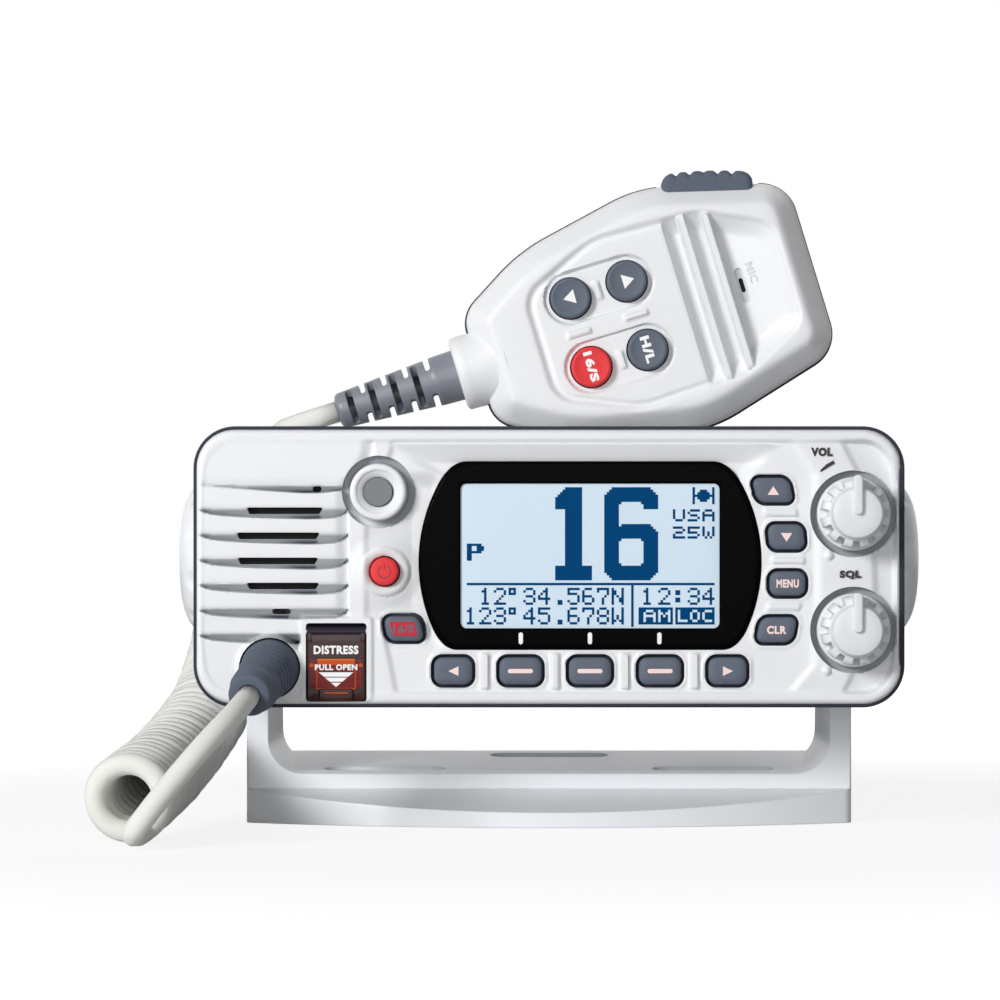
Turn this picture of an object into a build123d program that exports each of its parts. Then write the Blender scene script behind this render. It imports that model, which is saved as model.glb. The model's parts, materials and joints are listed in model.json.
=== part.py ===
"""Fixed-mount VHF marine radio: control head, case, U-bracket, curly cord and fist microphone.

Millimetres. +X is the radio's right as the user faces it, the face looks along -Y and +Z is up.
The origin is on the bracket's underside, below the tilt axis. Face positions are given as
(x, z) from the centre of the control panel.
"""
from build123d import *
from math import cos, sin, tan, pi, radians
import os

# ---------------------------------------------------------------- bracket and tilt axis
TILT_Z = 60.6            # height of the tilt axis over the surface
BRACKET_HALF_W = 69.3    # outer half width of the U
LEG_T = 5.0              # leg thickness
BRACKET_REAR_Y = 31.0
BRACKET_FRONT_Y = -21.0  # at the legs
BRACKET_BOW = 17.0       # how far the middle of the front edge stands forward
FLOOR_REAR_Z = 13.8      # height of the base at its rear edge
FLOOR_MID_Z = 11.2       # height where the front slope starts
FLOOR_MID_Y = -7.0
FLOOR_FRONT_Z = 3.4      # height of the front skirt in the middle
LEG_TOP_R = 18.5
INNER_CORNER_R = 8.0
BRACKET_WALL = 3.0
MOUNT_HOLE_R = 2.4
MOUNT_HOLE_X = 38.3
MOUNT_HOLE_Y = -4.0
REAR_HOLE_Y = 22.0
MOUNT_BOSS_R = 6.0
RECESS_L = 28.5
RECESS_W = 8.0
RECESS_DEPTH = 1.4
STUD_R = 3.0
STUD_CLEARANCE = 0.08

# ---------------------------------------------------------------- clamp knobs
CLAMP_R = 19.0
CLAMP_W = 17.5           # how far the knob stands out from the leg
CLAMP_LOBES = 10
CLAMP_LOBE_R = 5.0
CLAMP_LOBE_DEPTH = 1.0
WASHER_T = 1.4
WASHER_R = 10.5
STUD_DEPTH = 6.0         # thread length inside the case boss

# ---------------------------------------------------------------- control panel
PANEL_W = 156.0
PANEL_H = 61.7
PANEL_R = 9.2
PANEL_Z = 58.6           # centre height
FRONT_Y = -58.0
PANEL_DEPTH = 16.5
PANEL_WALL = 2.0
FACE_WALL = 3.5
RIM_STEP = 0.8           # the dark seal shows this much outside the moulding
GASKET_T = 2.0
FLANGE_T = 3.0
FLANGE_INSET = 3.0

VALLEY_DEPTH = 0.9       # level of the face between grille and knobs
SCOOP_DEPTH = 0.9        # further down, above the lens

# speaker grille
TROUGH_TOP = 17.8
TROUGH_PITCH = 5.5
TROUGH_COUNT = 7
TROUGH_LEFT = -76.2
TROUGH_RIGHT = -44.2
TROUGH_H = 2.9
TROUGH_DEPTH = 1.6
SLOT_H = 1.4
SLOTS = [(-51.8, -49.7), (-66.3, -49.7), (-68.5, -50.3), (-68.3, -50.7), (-66.3, -50.5), (-60.6, -56.7)]

# light sensor boss
SENSOR_POS = (-37.4, 16.4)
SENSOR_R = 3.1
SENSOR_RING_R = 6.15
SENSOR_GROOVE_R = 7.7
SENSOR_PROUD = 1.2

# display
LENS_X = 8.97
LENS_TOP = 23.05
LENS_BOTTOM = -18.1
LENS_TOP_HALF = 29.9
LENS_BOTTOM_HALF = 31.9
LENS_HALF = 37.5
LENS_WIDEST = 2.2
LENS_T = 1.8
LENS_PROUD = 0.5
LENS_GAP = 0.1
WINDOW_W = 56.7
WINDOW_H = 31.7
WINDOW_DZ = 2.4
LCD_W = 66.0
LCD_H = 38.0

# keys: (name, x, z, width, height, lean)
KEYS = [
    ("left_key", -21.0, -22.8, 8.3, 5.9, 0.0),
    ("soft_key_1", -6.26, -22.8, 9.2, 5.9, 0.0),
    ("soft_key_2", 8.97, -22.8, 9.2, 5.9, 0.0),
    ("soft_key_3", 24.3, -22.8, 9.2, 5.9, 0.0),
    ("right_key", 39.05, -22.8, 8.3, 5.9, 0.0),
    ("up_key", 49.0, 16.8, 8.0, 5.4, 1.3),
    ("down_key", 51.95, 6.55, 7.8, 5.5, 0.5),
    ("menu_key", 52.2, -3.65, 7.8, 5.3, 0.0),
    ("clear_key", 49.8, -13.8, 8.0, 5.5, -1.2),
    ("channel_16_key", -31.8, -13.55, 8.0, 5.3, 1.0),
]
KEY_R = 1.3
KEY_GAP = 0.75
KEY_PROUD = 1.1
KEY_TRAVEL = 0.8
KEY_FLANGE = 1.3
KEY_FLANGE_T = 0.8
KEY_RING = 1.0
POWER_POS = (-36.0, -1.0)
POWER_R = 3.1
POWER_RING_R = 5.4

# knobs on the face
KNOB_X = 66.7
KNOB_DZ = {"volume": 11.6, "squelch": -13.85}
KNOB_WELL_R = 9.5
KNOB_WELL_DEPTH = 2.0
KNOB_SKIRT_R = 8.1
KNOB_TOP_R = 5.35
KNOB_LEN = 13.0
KNOB_BASE_GAP = 0.7
KNOB_TEETH = 12
SHAFT_R = 3.0
SHAFT_BUSH_R = 4.4
BUMPS = [(61.3, 2.4), (60.8, -22.8)]
BUMP_R = 0.9

# distress switch
DISTRESS_X = -46.55
DISTRESS_DZ = -20.9
DISTRESS_W = 13.3
DISTRESS_H = 17.2
DISTRESS_FRAME = 1.5
COVER_T = 1.6
COVER_GAP = 0.25
TUB_DEPTH = 5.5
PIN_R = 0.7
PIN_CLEARANCE = 0.06
PIN_DROP = 1.9           # hinge pin below the pocket's upper edge
PIN_INSET = 0.6          # hinge pin behind the panel's front
LID_PROUD = 0.6
LID_OVER_PIN = 0.9       # short enough to swing clear of the pocket
BARREL_R = 1.25
DISTRESS_BUTTON_R = 4.6
DISTRESS_TRAVEL = 1.2

# cord boot in the face
BOOT_POS = (-61.1, -22.2)
BOOT_R = 6.35
BOOT_END_R = 4.3
BOOT_END = (-64.0, -78.0, 31.1)
BOOT_SHOULDER = 0.14     # share of its length where the round root becomes the leaning cone
BOOT_TAPER = 0.35
BOOT_RINGS = 4
BOOT_RING_W = 0.9

# inside the head
MAT_T = 1.6              # silicone mat with its domes
MAT_GAP = 0.1
FLANGE_GAP = 0.2         # between the panel and the key flanges
BOARD_T = 1.6
BOARD_POSTS = [(-22.0, 26.0), (60.0, 26.0), (-30.0, -24.5), (60.0, -24.5)]
POST_R = 2.0
SPEAKER_POS = (-59.5, 6.4)
SPEAKER_R = 14.5
SPEAKER_DEPTH = 12.0
MESH_T = 0.5
CLOTH_W = 24.5
CLOTH_H = 28.0
ENCODER_W = 12.0
# parts of the silicone mat: (x, z, width, height)
MAT_PARTS = [(9.2, -23.0, 95.6, 8.0), (50.5, -2.5, 13.0, 49.0), (-31.75, -9.5, 12.5, 35.0), (-36.0, -1.0, 10.0, 12.0)]

# ---------------------------------------------------------------- case
BOSS_REACH = 2.9         # tilt bosses, out from the case side
CASE_TOP_Z = 87.0
CASE_BOTTOM_Z = 32.0
CASE_REAR_Y = 44.0
CASE_WALL = 2.2
CASE_R = 4.0
SINK_BASE_T = 4.0
FIN_LEN = 10.0
FIN_T = 2.0
FIN_COUNT = 17
FIN_MARGIN = 6.8
SINK_INSET = 2.0
BOSS_R = 11.0
PAD_R = 6.0
MAIN_BOARD_RISE = 14.0   # over the case floor
MAIN_BOARD_D = 80.0
MAIN_BOARD_Y = 2.0
RAIL_W = 3.2
RAIL_H = 3.0
RF_SIZE = (52.0, 28.0, 14.0)
RF_X = 6.0
# larger parts on the main board: (x, y, width, depth, height)
BOARD_PARTS = [(-38.0, -20.0, 10.0, 10.0, 12.0), (-38.0, 10.0, 14.0, 14.0, 6.0), (40.0, -22.0, 16.0, 12.0, 7.0),
               (-12.0, -26.0, 20.0, 10.0, 4.0)]
SCREW_INSET = 5.2
SCREW_HEAD_R = 2.2
SCREW_HEAD_T = 1.8
SOCKET_MARGIN = 22.0     # socket from the case side
SOCKET_DROP = 17.0
SOCKET_R = 7.9
SOCKET_LEN = 11.0        # barrel beyond the fins
SOCKET_SEAT_R = 7.0
SOCKET_BOSS_R = 9.9
SOCKET_CUP_R = 5.6
SOCKET_CONTACT_R = 3.4
SOCKET_BORE_R = 2.0
GLAND_SPACING = 24.0
GLAND_RISE = 13.0
GLAND_R = 5.0
GLAND_LEN = 16.0
GLAND_BORE_R = 2.6

# ---------------------------------------------------------------- fist microphone
MIC_TILT = 17.0          # degrees, mouthpiece end up
MIC_CENTRE = (22.8, -29.0, 115.3)
MIC_OUTLINE = [(-40.4, 12.5, 7.0), (-24.0, 22.3, 40.0), (6.0, 28.4, 30.0), (38.4, 19.6, 8.0)]
MIC_FRONT = 9.5          # front shell, from the joint line
MIC_REAR = 13.0
MIC_WALL = 2.2
MIC_GASKET_T = 0.6
MIC_FACE_FILLET = 5.2
RECESS_OUTLINE = [(-26.5, 12.5, 7.0), (-8.0, 20.6, 16.0), (17.0, 19.6, 14.0), (32.5, 12.0, 6.0)]
MIC_RECESS = 0.9
RIBS_U = (12.7, 18.1)
RIB_W = 2.0
RIB_HALF_L = 18.6
MIC_SLOT_U = 21.8
MIC_KEYS = [("mic_down_key", -16.2, 8.6), ("mic_up_key", -3.0, 8.6),
            ("mic_16_key", -16.2, -7.5), ("mic_power_level_key", -3.0, -7.5)]
MIC_KEY_R = 4.5
MIC_KEY_GAP = 0.3
MIC_KEY_PROUD = 1.4
COLLAR_R = 8.3
COLLAR_END_U = -45.4
COLLAR_START_U = -33.0
PTT_U = 20.9
PTT_EDGE_V = 24.25
PTT_SLOPE = -15.2
PTT_L = 20.7
PTT_W = 11.0
PTT_PROUD = 3.4
PTT_RIBS = 6
PTT_GAP = 0.35
MIC_BOOT_R = 5.5
MIC_BOOT_END_R = 4.1
MIC_BOOT_L = 28.5
MIC_BOOT_ROWS = 5
MIC_BOARD_T = 1.6
MIC_BOARD_W = 56.0
MIC_BOARD_H = 30.0
MIC_SCREWS = [(-30.0, 12.5), (-30.0, -12.5), (31.0, 12.0), (31.0, -12.0)]
MIC_POST_R = 2.4
MIC_HEAD_R = 2.4
MIC_SHANK_R = 1.05
MIC_SHANK_L = 12.0
HANGER_R = 5.0

# ---------------------------------------------------------------- cord
CORD_D = 4.8
COIL_D = 19.4
LEAD_POINTS = [BOOT_END, (-65.4, -87.6, 28.6), (-71.3, -95.8, 22.3), (-79.3, -100.0, 12.6),
               (-84.6, -101.8, 5.6), (-86.3, -98.3, 4.2), (-85.9, -91.8, 4.6)]
COIL_POINTS = [(-88.3, -92.0, 9.9), (-86.6, -62.0, 11.9), (-83.6, -22.0, 17.2), (-81.0, 14.0, 24.2),
               (-80.2, 40.0, 31.6), (-79.4, 57.0, 41.0)]
TAIL_POINTS = [(-79.4, 57.0, 41.0), (-79.0, 65.3, 45.6), (-77.4, 72.2, 57.5), (-74.0, 71.5, 71.0),
               (-69.5, 62.5, 82.5), (-64.5, 47.5, 89.6), (-60.0, 29.5, 92.0), (-58.5, 10.5, 91.2),
               (-60.5, -6.0, 89.6), (-62.5, -18.5, 89.2)]
TAIL_LAST_RUN = 10.0     # straight run into the microphone's boot

# ---------------------------------------------------------------- derived places
PANEL_BACK_Y = FRONT_Y + PANEL_DEPTH
FLANGE_FRONT_Y = PANEL_BACK_Y + GASKET_T
CASE_FRONT_Y = FLANGE_FRONT_Y + FLANGE_T
FACE_BACK_Y = FRONT_Y + FACE_WALL
MAT_FRONT_Y = FACE_BACK_Y + FLANGE_GAP + KEY_FLANGE_T + KEY_TRAVEL + MAT_GAP
BOARD_Y = MAT_FRONT_Y + MAT_T
VALLEY_Y = FRONT_Y + VALLEY_DEPTH
LENS_FRONT_Y = VALLEY_Y - LENS_PROUD
LENS_BACK_Y = LENS_FRONT_Y + LENS_T
LEG_INNER = BRACKET_HALF_W - LEG_T
CASE_HALF_W = LEG_INNER - WASHER_T - BOSS_REACH
FIN_PITCH = 2 * (CASE_HALF_W - SINK_INSET - FIN_MARGIN) / (FIN_COUNT - 1)
SOCKET_POS = (CASE_HALF_W - SOCKET_MARGIN, CASE_TOP_Z - SOCKET_DROP)
GLANDS = {"power_gland": (CASE_HALF_W - SOCKET_MARGIN - GLAND_SPACING, CASE_BOTTOM_Z + GLAND_RISE),
          "accessory_gland": (CASE_HALF_W - SOCKET_MARGIN, CASE_BOTTOM_Z + GLAND_RISE)}
MAIN_BOARD_Z = CASE_BOTTOM_Z + MAIN_BOARD_RISE
PIN_Y = FRONT_Y + PIN_INSET
PIN_Z = PANEL_Z + DISTRESS_DZ + DISTRESS_H / 2 - PIN_DROP
MOULD_W = PANEL_W - 2 * RIM_STEP
MOULD_H = PANEL_H - 2 * RIM_STEP
MOULD_R = PANEL_R - RIM_STEP


# ---------------------------------------------------------------- helpers
def face_plane(y):
    """A plane at depth y that looks out of the radio's face, centred on the panel."""
    return Plane(origin=(0, y, PANEL_Z), x_dir=(1, 0, 0), z_dir=(0, -1, 0))


def front_block(sketch, y_front, y_back):
    """Extrude a face sketch from y_front back to y_back."""
    return extrude(face_plane(y_back) * sketch, amount=y_back - y_front)


def disc(pos, r, y_front, y_back):
    return front_block(Pos(*pos) * Circle(r), y_front, y_back)


def upward_polygon(*points):
    """A polygon that faces up, whichever way round its points are given."""
    following = points[1:] + points[:1]
    area = sum(x1 * y2 - x2 * y1 for (x1, y1), (x2, y2) in zip(points, following))
    return Polygon(*(points if area > 0 else points[::-1]), align=None)


def leaning_rectangle(width, height, lean, radius):
    """A key outline whose upper edge is shifted left by lean."""
    points = [(-width / 2 - lean / 2, height / 2), (width / 2 - lean / 2, height / 2),
              (width / 2 + lean / 2, -height / 2), (-width / 2 + lean / 2, -height / 2)]
    shape = upward_polygon(*points)
    return fillet(shape.vertices(), radius)


def rounded_polygon(corners):
    """A closed outline from (x, y, radius) corners, each corner rounded by its own radius."""
    shape = upward_polygon(*[(x, y) for x, y, _ in corners])
    for x, y, radius in corners:
        corner = shape.vertices().sort_by_distance((x, y, 0))[0]
        shape = fillet(corner, radius)
    return shape


def mirrored(corners):
    """Corners of a shape that is symmetric about its length axis."""
    return corners + [(x, -y, radius) for x, y, radius in reversed(corners)]


def save(name, shape):
    """Write one sub-part to its STEP file."""
    shape.label = name
    export_step(shape, os.path.join("parts", name + ".step"))


# ---------------------------------------------------------------- bracket
def bracket():
    """Moulded U-bracket: two legs on a hollow, ramped base with a bowed front edge."""
    front = BRACKET_FRONT_Y
    outline = make_face(Polyline((BRACKET_HALF_W, front), (BRACKET_HALF_W, BRACKET_REAR_Y),
                                 (-BRACKET_HALF_W, BRACKET_REAR_Y), (-BRACKET_HALF_W, front))
                        + ThreePointArc((-BRACKET_HALF_W, front), (0, front - BRACKET_BOW),
                                        (BRACKET_HALF_W, front)))
    outline = fillet(outline.vertices(), 3.0)
    tall = TILT_Z + LEG_TOP_R
    toe_y = front - BRACKET_BOW
    section = Polygon((BRACKET_REAR_Y, 0), (BRACKET_REAR_Y, FLOOR_REAR_Z), (FLOOR_MID_Y, FLOOR_MID_Z),
                      (toe_y, FLOOR_FRONT_Z), (toe_y, 0), align=None)
    section = fillet(section.vertices().sort_by_distance((FLOOR_MID_Y, FLOOR_MID_Z, 0))[0], 20.0)
    side = Plane.YZ
    base = extrude(side * section, amount=BRACKET_HALF_W, both=True)
    leg_shape = Polygon((front, 0), (BRACKET_REAR_Y, 0), (LEG_TOP_R, TILT_Z), (-LEG_TOP_R, TILT_Z),
                        align=None) + Pos(0, TILT_Z) * Circle(LEG_TOP_R)
    full = extrude(side * leg_shape, amount=BRACKET_HALF_W, both=True)
    gap = Pos(0, 0, FLOOR_MID_Z + tall / 2) * Box(2 * LEG_INNER, 200, tall)
    gap = fillet(gap.edges().filter_by(Axis.Y).group_by(Axis.Z)[0], INNER_CORNER_R)
    legs = full - gap
    web = base + legs
    body = web & extrude(outline, amount=tall)
    # hollow underside with a rib cross, open at the bottom
    inner = offset(outline, -BRACKET_WALL)
    hollow_section = offset(section, -BRACKET_WALL)
    hollow = extrude(side * hollow_section, amount=LEG_INNER, both=True) + extrude(
        side * Pos(0, -BRACKET_WALL) * hollow_section, amount=LEG_INNER, both=True)
    hollow = hollow & extrude(Pos(0, 0, -1) * inner, amount=tall)
    ribs = Box(BRACKET_WALL * 0.7, 80, 60) + Pos(0, 8, 0) * Box(2 * LEG_INNER, BRACKET_WALL * 0.7, 60)
    ribs += Pos(LEG_INNER / 2, 0, 0) * Box(BRACKET_WALL * 0.7, 80, 60)
    ribs += Pos(-LEG_INNER / 2, 0, 0) * Box(BRACKET_WALL * 0.7, 80, 60)
    screws = [(-MOUNT_HOLE_X, MOUNT_HOLE_Y), (MOUNT_HOLE_X, MOUNT_HOLE_Y), (0, REAR_HOLE_Y)]
    for x, y in screws:
        ribs += Pos(x, y, 0) * Cylinder(MOUNT_BOSS_R, 60)
    body -= hollow - ribs
    # screw recesses and holes
    for x, y in screws:
        floor_z = FLOOR_MID_Z + (FLOOR_REAR_Z - FLOOR_MID_Z) * (y - FLOOR_MID_Y) / (BRACKET_REAR_Y - FLOOR_MID_Y)
        recess = Pos(x, y, floor_z - RECESS_DEPTH) * extrude(SlotOverall(RECESS_L, RECESS_W), amount=20)
        body -= recess
        body -= Pos(x, y, 0) * Cylinder(MOUNT_HOLE_R, 80)
    # clamp stud holes
    body -= Pos(0, 0, TILT_Z) * Rot(0, 90, 0) * Cylinder(STUD_R + STUD_CLEARANCE, 4 * BRACKET_HALF_W)
    return body


def clamp_knob(sign):
    """Domed hand knob with a scalloped rim and its own threaded stud."""
    w = CLAMP_W
    r = CLAMP_R
    profile = make_face(
        Polyline((r - 1.2, 1.2), (r - 2.4, 0), (0, 0), (0, w))
        + Spline((0, w), (r * 0.46, w - 0.35), (r * 0.69, w - 1.2), (r * 0.875, w - 3.0), (r, w - 7.5),
                 tangents=((1, 0), (0, -1)))
        + Line((r, w - 7.5), (r - 1.2, 1.2)))
    knob = revolve(Plane.XZ * profile, Axis.Z)
    for i in range(CLAMP_LOBES):
        notch = Rot(0, 0, 360 * (i + 0.5) / CLAMP_LOBES) * Pos(r + CLAMP_LOBE_R - CLAMP_LOBE_DEPTH, 0, w / 2)
        knob -= notch * Cylinder(CLAMP_LOBE_R, 2 * w)
    reach = LEG_T + WASHER_T + STUD_DEPTH
    knob += Pos(0, 0, -reach / 2) * Cylinder(STUD_R, reach)
    place = Pos(sign * BRACKET_HALF_W, 0, TILT_Z) * Rot(0, sign * 90, 0)
    return place * knob


def washer(sign):
    """Rubber washer between the case boss and the bracket leg."""
    ring = Cylinder(WASHER_R, WASHER_T) - Cylinder(STUD_R + 0.3, WASHER_T)
    return Pos(sign * (LEG_INNER - WASHER_T / 2), 0, TILT_Z) * Rot(0, 90, 0) * ring


# ---------------------------------------------------------------- control panel
def lens_outline(grow=0.0):
    """Outline of the display lens: straight top and bottom, bulged sides."""
    top = LENS_TOP + grow
    bottom = LENS_BOTTOM - grow
    half = LENS_HALF + grow
    sides = []
    for sign in (-1, 1):
        sides.append(ThreePointArc((LENS_X + sign * (LENS_TOP_HALF + grow), top),
                                   (LENS_X + sign * half, LENS_WIDEST),
                                   (LENS_X + sign * (LENS_BOTTOM_HALF + grow), bottom)))
    shape = make_face(sides[0] + sides[1]
                      + Line((LENS_X - LENS_TOP_HALF - grow, top), (LENS_X + LENS_TOP_HALF + grow, top))
                      + Line((LENS_X - LENS_BOTTOM_HALF - grow, bottom),
                             (LENS_X + LENS_BOTTOM_HALF + grow, bottom)))
    return fillet(shape.vertices(), 2.5)


def front_panel():
    """The white face moulding with grille, lens seat, key openings, wells and bosses."""
    body = front_block(RectangleRounded(MOULD_W, MOULD_H, MOULD_R), FRONT_Y, PANEL_BACK_Y)
    body = fillet(body.faces().sort_by(Axis.Y)[0].edges(), 1.2)
    body -= front_block(RectangleRounded(MOULD_W - 2 * PANEL_WALL, MOULD_H - 2 * PANEL_WALL,
                                         MOULD_R - PANEL_WALL), FACE_BACK_Y, PANEL_BACK_Y)
    # valley between the grille block and the right-hand edge
    valley = upward_polygon((-41.5, 26.0), (-33.5, 26.0), (-27.5, 27.4), (60.0, 27.4), (66.5, 20.0),
                            (69.5, 5.0), (66.0, -20.0), (62.0, -27.6), (-34.0, -27.6), (-37.5, -10.5),
                            (-43.0, -8.5), (-43.0, 16.0))
    body -= front_block(valley, FRONT_Y - 1, VALLEY_Y)
    scoop = upward_polygon((LENS_X - 42.0, LENS_TOP + 3.4), (LENS_X + 38.0, LENS_TOP + 3.4),
                           (LENS_X + 33.0, LENS_TOP - 4), (LENS_X - 33.0, LENS_TOP - 4))
    body -= front_block(scoop, FRONT_Y - 1, VALLEY_Y + SCOOP_DEPTH)
    # grille: long troughs that deepen to the right, with through slots
    for i in range(TROUGH_COUNT):
        z = TROUGH_TOP - i * TROUGH_PITCH
        right = TROUGH_RIGHT if i < TROUGH_COUNT - 1 else DISTRESS_X - DISTRESS_W / 2 - 2.5 * DISTRESS_FRAME
        wedge = upward_polygon((TROUGH_LEFT, FRONT_Y - 0.01), (TROUGH_LEFT + 8, FRONT_Y + TROUGH_DEPTH * 0.7),
                               (right - 2.5, FRONT_Y + TROUGH_DEPTH), (right, FRONT_Y - 0.01))
        body -= Pos(0, 0, PANEL_Z + z - TROUGH_H / 2) * extrude(wedge, amount=TROUGH_H)
    for i, (left, right) in enumerate(SLOTS):
        z = TROUGH_TOP - i * TROUGH_PITCH
        slot = Pos((left + right) / 2, z) * Rectangle(right - left, SLOT_H)
        body -= front_block(slot, FRONT_Y - 1, FACE_BACK_Y + 1)
    # light sensor boss in its groove
    body -= disc(SENSOR_POS, SENSOR_GROOVE_R, FRONT_Y - 1, VALLEY_Y + 0.9)
    body += disc(SENSOR_POS, SENSOR_RING_R, FRONT_Y - SENSOR_PROUD, FACE_BACK_Y)
    body -= disc(SENSOR_POS, SENSOR_R + 1.2, FRONT_Y - 2, FRONT_Y - SENSOR_PROUD + 0.8)
    body -= disc(SENSOR_POS, SENSOR_R + 0.05, FRONT_Y - 2, FACE_BACK_Y + 1)
    # lens seat and display window
    body -= front_block(lens_outline(LENS_GAP), FRONT_Y - 1, LENS_BACK_Y)
    window = Pos(LENS_X, WINDOW_DZ) * RectangleRounded(WINDOW_W + 3, WINDOW_H + 3, 2)
    body -= front_block(window, FRONT_Y - 1, FACE_BACK_Y + 1)
    # key openings, each with a raised lip
    for _, x, z, w, h, lean in KEYS:
        lip = Pos(x, z) * leaning_rectangle(w + 2 * KEY_GAP + KEY_RING, h + 2 * KEY_GAP + KEY_RING, lean,
                                            KEY_R + KEY_GAP)
        body += front_block(lip, VALLEY_Y - 0.3, FACE_BACK_Y)
    body -= front_block(lens_outline(LENS_GAP), FRONT_Y - 1, LENS_BACK_Y)
    for _, x, z, w, h, lean in KEYS:
        hole = Pos(x, z) * leaning_rectangle(w + 2 * KEY_GAP, h + 2 * KEY_GAP, lean, KEY_R + KEY_GAP)
        body -= front_block(hole, FRONT_Y - 1, FACE_BACK_Y + 1)
    body += disc(POWER_POS, POWER_RING_R, FRONT_Y - 0.6, FACE_BACK_Y)
    body -= disc(POWER_POS, POWER_R + 0.3, FRONT_Y - 1, FACE_BACK_Y + 1)
    # knob wells with shaft holes, and the two small bumps beside them
    for dz in KNOB_DZ.values():
        body -= disc((KNOB_X, dz), KNOB_WELL_R, FRONT_Y - 1, FRONT_Y + KNOB_WELL_DEPTH)
        body -= disc((KNOB_X, dz), SHAFT_BUSH_R + 0.05, FRONT_Y - 1, FACE_BACK_Y + 1)
    for pos in BUMPS:
        body += disc(pos, BUMP_R, VALLEY_Y - 0.9, FACE_BACK_Y)
    # distress switch: raised frame and a tub behind it
    frame_w = DISTRESS_W + 2 * DISTRESS_FRAME
    frame = Pos(DISTRESS_X, DISTRESS_DZ + DISTRESS_FRAME / 2) * Rectangle(frame_w, DISTRESS_H + DISTRESS_FRAME)
    body += front_block(frame, FRONT_Y - 0.3, FACE_BACK_Y)
    tub = Pos(DISTRESS_X, DISTRESS_DZ) * Rectangle(DISTRESS_W + 2, DISTRESS_H + 2)
    inside = front_block(Rectangle(MOULD_W - 2, MOULD_H - 2), FRONT_Y - 5, PANEL_BACK_Y)
    body += front_block(tub, FRONT_Y, FRONT_Y + TUB_DEPTH + 1.5) & inside
    pocket = Pos(DISTRESS_X, DISTRESS_DZ) * Rectangle(DISTRESS_W, DISTRESS_H)
    body -= front_block(pocket, FRONT_Y - 1, FRONT_Y + TUB_DEPTH)
    body -= disc((DISTRESS_X, DISTRESS_DZ - 1), DISTRESS_BUTTON_R + 0.3, FRONT_Y, FRONT_Y + TUB_DEPTH + 3)
    body -= Pos(DISTRESS_X, PIN_Y, PIN_Z) * Rot(0, 90, 0) * Cylinder(PIN_R, DISTRESS_W + 2)
    # cord boot socket with a raised collar
    body += disc(BOOT_POS, BOOT_R + 1.2, FRONT_Y - 0.5, FACE_BACK_Y)
    body -= disc(BOOT_POS, BOOT_R + 0.05, FRONT_Y - 1, FACE_BACK_Y + 2)
    body -= disc(BOOT_POS, BOOT_R + 0.4, FRONT_Y - 1, FRONT_Y)
    # posts that carry the front board
    for pos in BOARD_POSTS:
        body += disc(pos, POST_R, FACE_BACK_Y, BOARD_Y)
    return body


def panel_gasket():
    """Dark seal between the face moulding and the case flange, showing as a line all round."""
    ring = RectangleRounded(PANEL_W, PANEL_H, PANEL_R) - RectangleRounded(PANEL_W - 16, PANEL_H - 10, PANEL_R - 4)
    return front_block(ring, PANEL_BACK_Y, FLANGE_FRONT_Y)


def display_lens():
    body = front_block(lens_outline(), LENS_FRONT_Y, LENS_BACK_Y)
    return fillet(body.faces().sort_by(Axis.Y)[0].edges(), 0.5)


def display_module():
    """The liquid crystal cell in its metal frame, between the panel and the board."""
    frame = front_block(Pos(LENS_X, WINDOW_DZ) * Rectangle(LCD_W, LCD_H), FACE_BACK_Y + FLANGE_GAP, BOARD_Y)
    cell = front_block(Pos(LENS_X, WINDOW_DZ) * Rectangle(WINDOW_W + 1, WINDOW_H + 1), LENS_BACK_Y, FACE_BACK_Y + FLANGE_GAP)
    return frame + cell


def front_board():
    """Circuit board that carries the keys, the display and the rotary controls."""
    right = MOULD_W / 2 - PANEL_WALL - 1
    left = SENSOR_POS[0] - 4.0
    width = right - left
    height = MOULD_H - 2 * PANEL_WALL - 2.5
    board = front_block(Pos((left + right) / 2, 0.4) * RectangleRounded(width, height, MOULD_R - PANEL_WALL),
                        BOARD_Y, BOARD_Y + BOARD_T)
    notch = Pos(DISTRESS_X, DISTRESS_DZ) * Rectangle(DISTRESS_W + 4, DISTRESS_H + 6)
    return board - front_block(notch, BOARD_Y - 1, BOARD_Y + 3)


def key_mat():
    """One silicone sheet of switch domes behind all the keys."""
    parts = [Pos(x, z) * Rectangle(width, height) for x, z, width, height in MAT_PARTS]
    mat = parts[0] + parts[1:]
    display = Pos(LENS_X, WINDOW_DZ) * Rectangle(LCD_W + 1, LCD_H + 1)
    mat = front_block(mat, MAT_FRONT_Y, BOARD_Y) - front_block(display, MAT_FRONT_Y - 1, BOARD_Y + 1)
    for pos in BOARD_POSTS:
        mat -= disc(pos, POST_R + 0.4, MAT_FRONT_Y - 1, BOARD_Y + 1)
    return mat


def key(x, z, w, h, lean):
    """A key cap with its retaining flange behind the panel."""
    cap = front_block(Pos(x, z) * leaning_rectangle(w, h, lean, KEY_R), VALLEY_Y - KEY_PROUD,
                      FACE_BACK_Y + FLANGE_GAP + KEY_FLANGE_T)
    cap = fillet(cap.faces().sort_by(Axis.Y)[0].edges(), 0.6)
    flange = Pos(x, z) * leaning_rectangle(w + 2 * KEY_FLANGE, min(h + 2 * KEY_FLANGE, 7.9), lean, KEY_R)
    return cap + front_block(flange, FACE_BACK_Y + FLANGE_GAP, FACE_BACK_Y + FLANGE_GAP + KEY_FLANGE_T)


def power_key():
    cap = disc(POWER_POS, POWER_R, FRONT_Y - 0.9, FACE_BACK_Y + FLANGE_GAP + KEY_FLANGE_T)
    cap = fillet(cap.faces().sort_by(Axis.Y)[0].edges(), 0.7)
    return cap + disc(POWER_POS, POWER_R + 1.0, FACE_BACK_Y + FLANGE_GAP, FACE_BACK_Y + FLANGE_GAP + KEY_FLANGE_T)


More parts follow.
